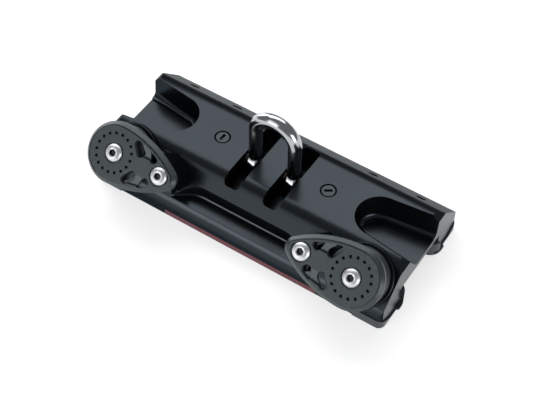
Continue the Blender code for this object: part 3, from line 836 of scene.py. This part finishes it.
@dataclass
class SheaveSet:
    """Sheave of a block, the ring of balls that it runs on and the hub inside them."""

    low: float
    high: float
    bore: float
    fit: float
    ring_radius: float
    balls: int
    half_width: float = 7.6 * MM
    radius: float = 22.2 * MM
    groove_bed: float = 19.4 * MM
    groove_steps: int = 8
    inner_radius: float = 17.5 * MM
    lip: float = 0.7 * MM
    bore_edge: float = 0.4 * MM
    rim_edge: float = 0.3 * MM
    sheave_facets: int = 96
    hub_radius: float = 12.8 * MM
    hub_edge: float = 0.4 * MM
    hub_facets: int = 64
    cage_inner: float = 14.6 * MM
    cage_outer: float = 15.7 * MM
    cage_half: float = 0.65 * MM
    cage_facets: int = 68
    ball: float = 2.05 * MM
    ball_steps: int = 3

    @property
    def middle(self) -> float:
        """Level halfway between base and cheek."""
        return (self.low + self.high) / 2

    def sheave(self) -> BMesh:
        """Grooved sheave with rounded lips and a wide bore.

        Returns:
            The shape.
        """
        half, radius, bore, rim, edge = (self.half_width, self.radius, self.inner_radius, self.rim_edge,
                                         self.bore_edge)
        profile = [(bore, -half + edge), (bore + edge, -half), (radius - rim, -half), (radius, -half + rim)]
        for step in range(-self.groove_steps, self.groove_steps + 1):
            turn = math.pi / 2 * step / self.groove_steps
            out = self.groove_bed + (radius - self.groove_bed) * (1 - math.cos(turn))
            profile.append((out, (half - self.lip) * math.sin(turn)))
        profile += [(radius, half - rim), (radius - rim, half), (bore + edge, half), (bore, half - edge)]
        return turned([(r, z + self.middle) for r, z in profile], self.sheave_facets, closed=True)

    def hub(self) -> BMesh:
        """Fixed hub between base and cheek.

        Returns:
            The shape.
        """
        low, high, outer, edge = self.low + self.fit, self.high - self.fit, self.hub_radius, self.hub_edge
        return turned([(self.bore, low), (outer - edge, low), (outer, low + edge), (outer, high - edge),
                       (outer - edge, high), (self.bore, high)], self.hub_facets, closed=True)

    def ball_ring(self) -> BMesh:
        """Bearing balls in their thin cage.

        Returns:
            The shape.
        """
        low, high = self.middle - self.cage_half, self.middle + self.cage_half
        bm = turned([(self.cage_inner, low), (self.cage_outer, low), (self.cage_outer, high),
                     (self.cage_inner, high)], self.cage_facets, closed=True)
        for spot in ring_places(self.balls, self.ring_radius, self.middle):
            bmesh.ops.create_icosphere(bm, subdivisions=self.ball_steps, radius=self.ball, matrix=spot)
        return bm


@dataclass
class CheekBlock:
    """One of the two mirrored blocks: base with horn, sheave on its ball ring, outer cheek and two screws."""

    side: Side
    egg: Egg = field(default_factory=Egg)
    screw: ButtonScrew = field(default_factory=ButtonScrew)
    fit: float = 0.3 * MM
    lap: float = 0.02 * MM
    facets: int = 48
    base_height: float = 4.6 * MM
    base_radius: float = 24.4 * MM
    base_round: float = 0.8 * MM
    base_steps: int = 72
    neck: Flat = (46.0 * MM, -10.6 * MM)
    horn_round: float = 1.2 * MM
    horn_angle: float = 15.0
    face_height: float = 27.9 * MM
    cheek_thickness: float = 4.6 * MM
    chamfer: float = 2.6 * MM
    facet_round: float = 0.25 * MM
    groove: float = 0.7 * MM
    groove_inset: float = 0.2 * MM
    groove_end: float = -8.0 * MM
    rim_width: float = 1.5 * MM
    rim_height: float = 0.8 * MM
    rim_round: float = 0.35 * MM
    ring_radius: float = 15.15 * MM
    ring_holes: int = 17
    ring_hole: float = 2.4 * MM
    hole_facets: int = 16
    cup_levels: tuple[float, ...] = (-3.4 * MM, -2.0 * MM, -2.3 * MM, -2.6 * MM, -2.7 * MM)
    cup_lip: float = 0.25 * MM
    window_round: float = 1.5 * MM
    web_depth: Flat = (0.4 * MM, 2.4 * MM)
    web_rise: float = 1.0 * MM
    screw_sink: float = 1.4 * MM
    seat_margin: float = 0.8 * MM

    @property
    def cheek_foot(self) -> float:
        """Level of the outer cheek's inner face."""
        return self.face_height - self.cheek_thickness

    @property
    def bore(self) -> float:
        """Radius of the bores for the screws."""
        return self.screw.shank / 2 + self.fit

    def where(self, frame: dict) -> Matrix:
        """Place of the block's frame, from its sheave's joint.

        Args:
            frame: the loaded frame.

        Returns:
            Matrix from the block's frame to the car's, mirroring for the right block.
        """
        joint = next(j for j in frame["joints"] if j["name"] == "sheave_{}_spin".format(self.side.word))
        out = Vector(joint["axis"]).normalized()
        along = Vector((-self.side.value, 0.0, 0.0))
        up = Vector((0.0, out.z, -out.y))
        columns = Matrix((along, up, out)).transposed()
        return Matrix.Translation(joint["pos_m"]) @ columns.to_4x4()

    def build(self, bench: Bench, frame: dict) -> None:
        """Make every piece of the block.

        Args:
            bench: where pieces are put in place.
            frame: the loaded frame.
        """
        where = self.where(frame)
        word = self.side.word
        sheave_body = Body["SHEAVE_" + self.side.name]
        ring_body = Body["RING_" + self.side.name]
        inside = SheaveSet(self.base_height, self.cheek_foot, self.bore, self.fit, self.ring_radius,
                           self.ring_holes)
        bench.place("cheek_plate_" + word, self.cheek(), COMPOSITE, Body.CAR,
                    ("block_cheek_" + word,), where, FACET_ANGLE)
        bench.place("base_plate_" + word, self.base(), ANODISED, Body.CAR,
                    ("block_base_" + word,), where, FACET_ANGLE)
        bench.place("grooved_sheave_" + word, inside.sheave(), SHEAVE_GREY, sheave_body,
                    ("sheave_" + word,), where)
        bench.place("ball_cage_" + word, inside.ball_ring(), WHITE_ACETAL, ring_body,
                    ("ball_ring_" + word,), where)
        bench.place("hub_" + word, inside.hub(), COMPOSITE, Body.CAR, ("sheave_hub_" + word,),
                    where)
        for name, along in (("sheave_screw_", 0.0), ("nose_screw_", self.egg.pitch)):
            seat = where @ Matrix.Translation((along, 0.0, self.face_height - self.screw_sink + self.fit))
            bench.place("button_" + name + word, self.screw.solid(), SCREW_STEEL, Body.CAR,
                        (name + word,), seat)
            # Dark cup in the socket: painted shade.
            bench.place("socket_of_" + name + word, self.screw.lining(), SOCKET_SHADE, Body.CAR,
                        where=seat)

    def _plate(self, outline: list[Flat], low: float, high: float, bore: float,
               pierced: bool = False) -> tuple[BMesh, bmesh.types.BMLayerItem]:
        """Flat plate with its bores, and a mark on the points of its outline.

        Args:
            outline: the plate's outline.
            low: level of its lower face.
            high: level of its upper face.
            bore: radius of its two bores.
            pierced: whether it has the ring of small holes and the four windows.

        Returns:
            The plate and the vertex layer whose value is 1 on the outline.
        """
        bm = bmesh.new()
        edge_mark = bm.verts.layers.int.new("outline")
        for vert in closed_ring(bm, outline, low):
            vert[edge_mark] = 1
        for along in (0.0, self.egg.pitch):
            bmesh.ops.create_circle(bm, cap_ends=False, segments=self.facets, radius=bore,
                                    matrix=Matrix.Translation((along, 0.0, low)))
        if pierced:
            for spot in ring_places(self.ring_holes, self.ring_radius, low):
                bmesh.ops.create_circle(bm, cap_ends=False, segments=self.hole_facets,
                                        radius=self.ring_hole / 2, matrix=spot)
            for corners in self._window_corners():
                rounded_ring(bm, corners, self.window_round, low)
        fill_level(bm, bm.edges)
        raise_faces(bm, list(bm.faces), (0, 0, high - low))
        return bm, edge_mark

    @staticmethod
    def _window_corners() -> list[list[Flat]]:
        """Corners of the four windows: two in the upper half of the cheek, and their mirror images.

        Returns:
            The corners of each window.
        """
        beside_ring = [(12.8, 13.8), (14.5, 17.4), (18.1, 17.8), (24.5, 10.2), (23.1, 6.1), (19.2, 5.4)]
        beside_nose = [(27.3, 15.8), (30.9, 14.8), (35.9, 12.0), (36.3, 8.2), (33.3, 5.7), (30.2, 6.4)]
        return [[(x * MM, across * y * MM) for x, y in corners]
                for corners in (beside_ring, beside_nose) for across in (1, -1)]

    def cheek(self) -> BMesh:
        """Outer cheek with its chamfer, windows, ring of holes, sunk screw seats and raised upper rim.

        Returns:
            The shape.
        """
        low, high = self.cheek_foot, self.face_height
        seat = self.screw.head / 2 + self.seat_margin
        bm, edge_mark = self._plate(self.egg.points(), low, high, seat, pierced=True)
        outer = [e for e in sharp_edges(bm, CORNER_ANGLE, high - MERGE)
                 if all(v[edge_mark] for v in e.verts)]
        ease(bm, outer, self.chamfer, 1, clamp=False)
        facet = [e for e in sharp_edges(bm, FACET_ANGLE, high - self.chamfer - MERGE)
                 if abs(e.verts[0].co.z - e.verts[1].co.z) < MERGE]
        ease(bm, facet, self.facet_round)
        for across in (1, -1):
            bm = combined(bm, self._web_cutter(across, high), Join.CUT)
        bm = combined(bm, self._groove_cutter(high), Join.CUT)
        inner, outer_wall = self.bore, seat + self.lap
        foot, top = low + self.lap, high - self.screw_sink
        for along in (0.0, self.egg.pitch):
            ledge = turned([(inner, foot), (outer_wall, foot), (outer_wall, top), (inner, top)], self.facets,
                           closed=True)
            bmesh.ops.translate(ledge, vec=(along, 0, 0), verts=ledge.verts)
            take_in(bm, ledge)
        for spot in ring_places(self.ring_holes, self.ring_radius, high):
            take_in(bm, self._cup(spot))
        take_in(bm, self._rim(high))
        return bm

    def _cup(self, spot: Matrix) -> BMesh:
        """Cupped floor of one of the ring's holes.

        Args:
            spot: where the hole meets the cheek's face.

        Returns:
            The floor as a closed plug.
        """
        radius = self.ring_hole / 2 + self.lap
        foot, lip, bowl, well, floor = self.cup_levels
        bm = turned([(0.0, foot), (radius, foot), (radius, lip), (radius - self.cup_lip, bowl),
                     (radius / 2, well), (0.0, floor)], self.hole_facets)
        bmesh.ops.transform(bm, matrix=spot, verts=bm.verts)
        return bm

    def _groove_cutter(self, face: float) -> BMesh:
        """Cutter for the fine groove inside the chamfer, from the nose over the upper flank to the sheave.

        Args:
            face: level of the cheek's face.

        Returns:
            The cutter.
        """
        start = -self.chamfer - self.groove_inset
        outer, inner = self.egg.points(start), self.egg.points(start - self.groove)
        kept = [i for i, (x, y) in enumerate(outer) if y > 0 or x < self.groove_end]
        gap = next(n for n, i in enumerate(kept) if n and i != kept[n - 1] + 1)
        kept = kept[gap:] + kept[:gap]
        band = [outer[i] for i in kept] + [inner[i] for i in reversed(kept)]
        return prism([(x, y, face - self.groove) for x, y in band], (0, 0, self.groove + MM))

    def _web_cutter(self, across: int, face: float) -> BMesh:
        """Cutter that sinks the web between two windows, deeper towards the lower edge of the slope.

        Args:
            across: 1 for the upper pair of windows, -1 for the lower one.
            face: level of the cheek's face.

        Returns:
            The cutter.
        """
        corners = [(22.8, 7.2), (23.6, 10.2), (17.4, 16.9), (28.6, 14.9), (30.2, 12.0), (31.0, 7.2)]
        shallow, deep = self.web_depth
        inner, outer = corners[0][1] * MM, corners[2][1] * MM
        bm = prism([(x * MM, across * y * MM, face + self.web_rise) for x, y in corners],
                   (0, 0, -self.web_rise))
        for vert in bm.verts:
            if vert.co.z < face + self.web_rise / 2:
                share = (abs(vert.co.y) - inner) / (outer - inner)
                share = share if across < 0 else 1 - share
                vert.co.z = face - shallow - (deep - shallow) * share
        return bm

    def _rim(self, face: float) -> BMesh:
        """Raised rim along the upper flank, from over the sheave to the nose.

        Args:
            face: level of the cheek's face.

        Returns:
            The rim as a closed bead that dips into the face.
        """
        start = -self.chamfer - self.groove - self.fit
        outer, inner = self.egg.points(start), self.egg.points(start - self.rim_width)
        upper = [i for i, (x, y) in enumerate(outer) if y > 0 and x > -self.egg.nose / 3]
        upper.sort(key=lambda i: outer[i][0])
        band = [outer[i] for i in upper] + [inner[i] for i in reversed(upper)]
        rim = prism([(x, y, face - self.fit) for x, y in band], (0, 0, self.fit + self.rim_height))
        ease(rim, sharp_edges(rim, CORNER_ANGLE, face), self.rim_round)
        return rim

    @staticmethod
    def _horn_corners() -> list[Flat]:
        """Plan of the angular horn that carries the nose screw, behind the gap left for the line.

        Returns:
            The plan's corners.
        """
        corners = [(33.5, -13.0), (33.5, 9.0), (29.0, 13.5), (36.5, 17.0), (46.0, 10.0), (55.0, -1.0),
                   (50.0, -8.5), (43.5, -12.0)]
        return [(x * MM, y * MM) for x, y in corners]

    def base(self) -> BMesh:
        """Base plate on the slope: a disc under the sheave, a neck, and the horn up to the outer cheek.

        Returns:
            The shape.
        """
        horn = self._horn_corners()
        upper, lower = horn[2][1], horn[0][1]
        start, end = (math.degrees(math.asin(y / self.base_radius)) for y in (upper, lower))
        outline = arc((0.0, 0.0), self.base_radius, start, 360 + end, self.base_steps)
        outline += [horn[0], (self.neck[0], lower), self.neck, *horn[6:1:-1]]
        bm, edge_mark = self._plate(outline, self.fit, self.base_height, self.bore)
        outer = [e for e in sharp_edges(bm, CORNER_ANGLE, self.base_height - MERGE)
                 if all(v[edge_mark] for v in e.verts)]
        ease(bm, outer, self.base_round, ROUND_STEPS)
        post = bmesh.new()
        low, high = self.base_height - self.fit, self.cheek_foot - self.fit
        closed_ring(post, horn, low)
        bmesh.ops.create_circle(post, cap_ends=False, segments=self.facets, radius=self.bore,
                                matrix=Matrix.Translation((self.egg.pitch, 0.0, low)))
        fill_level(post, post.edges)
        raise_faces(post, list(post.faces), (0, 0, high - low))
        upright = [e for e in sharp_edges(post, self.horn_angle)
                   if abs(e.verts[0].co.z - e.verts[1].co.z) > self.fit]
        ease(post, upright, self.horn_round, ROUND_STEPS)
        take_in(bm, post)
        return bm


@dataclass
class Shackle:
    """Bow of polished round rod with an eye on each leg."""

    rod: float = 10.8 * MM
    spacing: float = 34.6 * MM
    crown: float = 27.0 * MM
    bow_height: float = 46.5 * MM
    pivot: float = 18.0 * MM
    eye: float = 16.6 * MM
    eye_round: float = 2.8 * MM
    eye_round_steps: int = 6
    eye_facets: int = 56
    pin: float = 8.0 * MM
    pin_facets: int = 48
    fit: float = 0.3 * MM
    steps: int = 40

    def build(self, bench: Bench) -> None:
        """Make the shackle and put it in place.

        Args:
            bench: where pieces are put in place.
        """
        bow = self._bow()
        for side in Side:
            bow = combined(bow, self._eye(side), Join.UNITE)
        bow = combined(bow, self._bore(), Join.CUT)
        bench.place("shackle_bow", bow, POLISHED_STEEL, Body.SHACKLE, ("shackle",),
                    sharp=FACET_ANGLE)

    def _bow(self) -> BMesh:
        """Round rod: one leg, the half turn of the bow, and the other leg.

        Returns:
            The shape.
        """
        half = self.spacing / 2
        spring = self.crown + self.bow_height - half
        bm = bmesh.new()
        across = Matrix.Translation((half, 0, self.pivot))
        bmesh.ops.create_circle(bm, cap_ends=True, segments=self.steps, radius=self.rod / 2, matrix=across)
        leg = bmesh.ops.extrude_face_region(bm, geom=list(bm.faces), use_keep_orig=True)["geom"]
        rise = spring - self.pivot
        bmesh.ops.translate(bm, vec=(0, 0, rise), verts=[g for g in leg if isinstance(g, BMVert)])
        end = [g for g in leg if isinstance(g, BMFace)]
        turn = bmesh.ops.spin(bm, geom=end, cent=(0, 0, spring), axis=(0, -1, 0), angle=math.pi,
                              steps=self.steps, use_merge=False)["geom_last"]
        bmesh.ops.delete(bm, geom=[f for f in end if f.is_valid], context="FACES_ONLY")
        last = [g for g in turn if isinstance(g, BMFace)]
        leg = bmesh.ops.extrude_face_region(bm, geom=last)["geom"]
        bmesh.ops.delete(bm, geom=[f for f in last if f.is_valid], context="FACES_ONLY")
        bmesh.ops.translate(bm, vec=(0, 0, -rise), verts=[g for g in leg if isinstance(g, BMVert)])
        bmesh.ops.remove_doubles(bm, verts=bm.verts, dist=MERGE)
        bmesh.ops.recalc_face_normals(bm, faces=bm.faces)
        return bm

    def _eye(self, side: Side) -> BMesh:
        """Flat eye on the pin, with rounded rims.

        Args:
            side: which leg it is on.

        Returns:
            The shape.
        """
        bm = bmesh.new()
        bmesh.ops.create_cone(bm, cap_ends=True, segments=self.eye_facets, radius1=self.eye / 2,
                              radius2=self.eye / 2, depth=self.rod)
        ease(bm, sharp_edges(bm, CORNER_ANGLE), self.eye_round, self.eye_round_steps)
        bmesh.ops.transform(bm, matrix=self._across(side.value * self.spacing / 2), verts=bm.verts)
        return bm

    def _bore(self) -> BMesh:
        """Cutter for the bores of both eyes.

        Returns:
            The cutter.
        """
        bm = bmesh.new()
        radius = self.pin / 2 + self.fit
        bmesh.ops.create_cone(bm, cap_ends=True, segments=self.pin_facets, radius1=radius, radius2=radius,
                              depth=2 * self.spacing, matrix=self._across(0))
        return bm

    def _across(self, along: float) -> Matrix:
        """Place on the pin's axis, with Z turned along the pin."""
        return Matrix.Translation((along, 0, self.pivot)) @ Matrix.Rotation(math.pi / 2, 4, "Y")


@dataclass
class Saddle:
    """Milled body of the car, with its caps, ball guides, plugs, pin and stripe."""

    edge_round: float = 0.45 * MM
    edge_angle: float = 24.0
    shade_angle: float = 28.0
    slope_angle: float = 45.0
    slope_foot: float = -2.5 * MM
    lower_round: float = 5.4 * MM
    lower_steps: int = 9
    cutter_rise: float = 2.0 * MM
    cutter_reach: float = 3.0 * MM
    ledge_level: float = 3.4 * MM
    ledge_drop: float = 0.95 * MM
    ledge_clear: float = 1.14 * MM
    same_level: float = 0.01 * MM
    flat_share: float = 0.99
    end_reach: float = 0.1 * MM
    cap_round: float = 0.6 * MM
    cap_angle: float = 40.0
    stripe_from: float = -63.0 * MM
    stripe_to: float = 74.0 * MM
    stripe_low: float = -17.1 * MM
    stripe_height: float = 4.9 * MM
    stripe_film: float = 0.1 * MM
    stripe_out: float = 0.04 * MM

    def build(self, bench: Bench, frame: dict) -> None:
        """Make every piece that belongs to the saddle.

        Args:
            bench: where pieces are put in place.
            frame: the loaded frame.
        """
        nodes = frame["nodes"]
        body = merged(nodes["car_body"])
        self._slant_ledge(body)
        body = self._round_lower_edges(body)
        piece = bench.place("milled_saddle", body, ANODISED, Body.CAR, ("car_body",),
                            sharp=self.shade_angle)
        self._dress_ends(piece, bench)
        self._round_edges(piece)
        for name in ("end_cap_left_near", "end_cap_left_far", "end_cap_right_near", "end_cap_right_far"):
            cap = merged(nodes[name])
            ease(cap, sharp_edges(cap, self.cap_angle), self.cap_round, ROUND_STEPS)
            bench.place("moulded_" + name, cap, COMPOSITE, Body.CAR, (name,))
        for name in ("pin_plug_left", "pin_plug_right"):
            plug = merged(nodes[name])
            bench.place("slotted_" + name, plug, PLUG_GREY, Body.CAR, (name,),
                        sharp=FACET_ANGLE)
        for name, finish in (("ball_guide_near", COMPOSITE), ("ball_guide_far", COMPOSITE),
                             ("shackle_pin", PIN_STEEL)):
            nodes[name].data.materials.clear()
            nodes[name].data.materials.append(bench.material(finish))
            LOG.info("%s keeps its shape", name)
        self._stripe(bench)

    def _slant_ledge(self, body: BMesh) -> None:
        """Slant the ledge at the foot of the line pocket's wall, so that it catches the light.

        Args:
            body: the saddle.
        """
        def on_ledge(vert: BMVert) -> bool:
            """Whether a vertex of the near side is at the ledge's level."""
            return vert.co.y < 0 and abs(vert.co.z - self.ledge_level) < self.same_level

        level = [f for f in body.faces if f.normal.z > self.flat_share and all(map(on_ledge, f.verts))]
        bmesh.ops.triangulate(body, faces=level)
        for vert in filter(on_ledge, body.verts):
            lowest = min(e.other_vert(vert).co.z for e in vert.link_edges)
            if lowest < self.ledge_level - self.ledge_clear:
                vert.co.z -= self.ledge_drop

    def _round_lower_edges(self, body: BMesh) -> BMesh:
        """Round the long edges where the slopes turn into the sides.

        Args:
            body: the saddle, which is used up.

        Returns:
            The rounded saddle.
        """
        low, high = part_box("car_body")
        radius = self.lower_round / math.tan(math.radians(self.slope_angle) / 2)
        centre = (high.y - radius, self.slope_foot - self.lower_round)
        curve = arc(centre, radius, 0, self.slope_angle, self.lower_steps)
        first = [2 * a - b for a, b in zip(curve[0], curve[1])]
        last = [2 * a - b for a, b in zip(curve[-1], curve[-2])]
        top, beyond = last[1] + self.cutter_rise, first[0] + self.cutter_reach
        ring = [first, *curve[1:-1], last, (last[0], top), (beyond, top), (beyond, first[1])]
        length = high.x - low.x + 2 * MM
        for side in (-1, 1):
            cutter = prism([(low.x - MM, side * y, z) for y, z in ring], (length, 0, 0))
            body = combined(body, cutter, Join.CUT)
        return body

    def _dress_ends(self, piece: bpy.types.Object, bench: Bench) -> None:
        """Give the two milled end faces a brighter, more metallic copy of the anodised finish, a painted
        reflection of the floor that they face.

        Args:
            piece: the saddle.
            bench: where the material comes from.
        """
        low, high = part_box("car_body")
        piece.data.materials.append(bench.material(END_FACE_SHEEN))
        for face in piece.data.polygons:
            gap = min(abs(face.center.x - low.x), abs(face.center.x - high.x))
            if gap < self.end_reach and abs(face.normal.x) > self.flat_share:
                face.material_index = 1

    def _round_edges(self, piece: bpy.types.Object) -> None:
        """Break the hard edges with a bevel that comes before the even shading.

        Args:
            piece: the saddle.
        """
        bevel = piece.modifiers.new("broken_edges", "BEVEL")
        bevel.width = self.edge_round
        bevel.segments = 2
        bevel.limit_method = "ANGLE"
        bevel.angle_limit = math.radians(self.edge_angle)
        bevel.use_clamp_overlap = True
        bevel.harden_normals = False
        piece.modifiers.move(len(piece.modifiers) - 1, 0)

    def _stripe(self, bench: Bench) -> None:
        """Painted stripe low on the near side.

        Args:
            bench: where pieces are put in place.
        """
        low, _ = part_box("car_body")
        bm = bmesh.new()
        centre = Vector(((self.stripe_from + self.stripe_to) / 2, low.y - self.stripe_out,
                         self.stripe_low + self.stripe_height / 2))
        size = Matrix.Diagonal((self.stripe_to - self.stripe_from, self.stripe_film, self.stripe_height, 1))
        bmesh.ops.create_cube(bm, size=1.0, matrix=Matrix.Translation(centre) @ size)
        bench.place("painted_stripe", bm, RED_PAINT, Body.CAR)


@dataclass(frozen=True)
class Softbox:
    """Rectangular lamp that looks at the car's middle."""

    name: str
    direction: Point
    distance: float
    width: float
    height: float
    radiance: float

    def build(self, target: Vector) -> None:
        """Hang the lamp.

        Args:
            target: the point that it looks at.
        """
        lamp = bpy.data.lights.new(self.name, "AREA")
        lamp.shape = "RECTANGLE"
        lamp.size = self.width
        lamp.size_y = self.height
        lamp.energy = self.radiance * math.pi * self.width * self.height
        hung = bpy.data.objects.new(self.name, lamp)
        out = Vector(self.direction).normalized()
        hung.location = target + out * self.distance
        hung.rotation_euler = out.to_track_quat("Z", "Y").to_euler()
        bpy.context.scene.collection.objects.link(hung)


@dataclass
class Studio:
    """Pale floor, soft lamps and the camera."""

    camera_at: Point = (0.342, -0.547, 0.7948)
    azimuth: float = 32.217
    elevation: float = 51.551
    roll: float = 1.096
    sensor: float = 36.0
    focal_share: float = 1324.075 / 542
    far_clip: float = 50.0
    floor_half: float = 12.0
    floor_gap: float = 0.05 * MM
    floor_colour: float = 0.62
    floor_roughness: float = 0.9
    floor_glow: float = 0.66
    air_colour: Colour = (0.93, 0.96, 1.0)
    air_level: float = 0.23
    lamps: tuple[Softbox, ...] = (
        Softbox("softbox_back", (-0.331, 0.526, 0.783), 1.7, 2.1, 1.15, 2.25),
        Softbox("softbox_front", (-0.331, -0.783, 0.526), 1.8, 1.1, 1.1, 0.93),
        Softbox("softbox_low", (-0.34, -0.92, 0.2), 1.9, 0.7, 0.75, 3.6),
        Softbox("softbox_left", (-0.87, 0.38, 0.3), 1.9, 1.1, 1.1, 3.0),
        Softbox("softbox_right", (0.92, -0.34, 0.15), 1.9, 1.1, 1.1, 3.6),
    )

    def build(self) -> None:
        """Set the stage, the lamps, the world and the camera."""
        scene = bpy.context.scene
        scene.view_settings.view_transform = "Standard"
        low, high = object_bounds()
        self._floor(low.z)
        for lamp in self.lamps:
            lamp.build((low + high) / 2)
        world = bpy.data.worlds.new("studio_air")
        world.use_nodes = True
        feed(world.node_tree, world.node_tree.nodes["Background"],
             {"Color": (*self.air_colour, 1.0), "Strength": self.air_level})
        scene.world = world
        scene.camera = self._camera()

    def _floor(self, level: float) -> None:
        """Wide pale floor that glows for the camera, in reflections and through clear pieces.

        Args:
            level: height of the car's lowest point.
        """
        bm = bmesh.new()
        bmesh.ops.create_grid(bm, x_segments=1, y_segments=1, size=self.floor_half,
                              matrix=Matrix.Translation((0, 0, level - self.floor_gap)))
        mesh = bpy.data.meshes.new("studio_floor")
        bm.to_mesh(mesh)
        bm.free()
        floor = bpy.data.objects.new("studio_floor", mesh)
        bpy.context.scene.collection.objects.link(floor)
        paint = bpy.data.materials.new("white_paper")
        paint.use_nodes = True
        tree = paint.node_tree
        rays = tree.nodes.new("ShaderNodeLightPath").outputs
        seen = math_node(tree, "MAXIMUM", rays["Is Camera Ray"], rays["Is Glossy Ray"])
        through = math_node(tree, "MAXIMUM", seen, rays["Is Transmission Ray"])
        feed(tree, tree.nodes["Principled BSDF"], {
            "Base Color": (self.floor_colour,) * 3 + (1.0,), "Roughness": self.floor_roughness,
            "Emission Color": (1.0, 1.0, 1.0, 1.0),
            "Emission Strength": math_node(tree, "MULTIPLY", through, self.floor_glow)})
        mesh.materials.append(paint)
        floor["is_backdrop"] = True

    def _camera(self) -> bpy.types.Object:
        """Camera at the photograph's place, turned and rolled as it was.

        Returns:
            The camera.
        """
        azimuth, elevation = math.radians(self.azimuth), math.radians(self.elevation)
        back = Vector((math.sin(azimuth) * math.cos(elevation), -math.cos(azimuth) * math.cos(elevation),
                       math.sin(elevation)))
        right = Vector((math.cos(azimuth), math.sin(azimuth), 0.0))
        facing = Matrix((right, back.cross(right), back)).transposed().to_4x4()
        view = bpy.data.cameras.new("photo_view")
        view.sensor_width = self.sensor
        view.lens = self.sensor * self.focal_share
        view.clip_end = self.far_clip
        camera = bpy.data.objects.new("photo_view", view)
        camera.matrix_world = (Matrix.Translation(self.camera_at) @ facing
                               @ Matrix.Rotation(math.radians(self.roll), 4, "Z"))
        bpy.context.scene.collection.objects.link(camera)
        return camera


def main() -> None:
    """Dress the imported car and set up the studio."""
    logging.basicConfig(level=logging.INFO, format="%(message)s")
    for old in list(bpy.data.objects):
        bpy.data.objects.remove(old)
    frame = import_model()
    bench = Bench()
    Saddle().build(bench, frame)
    Shackle().build(bench)
    for side in Side:
        CheekBlock(side).build(bench, frame)
    Studio().build()


if __name__ == "__main__":
    main()
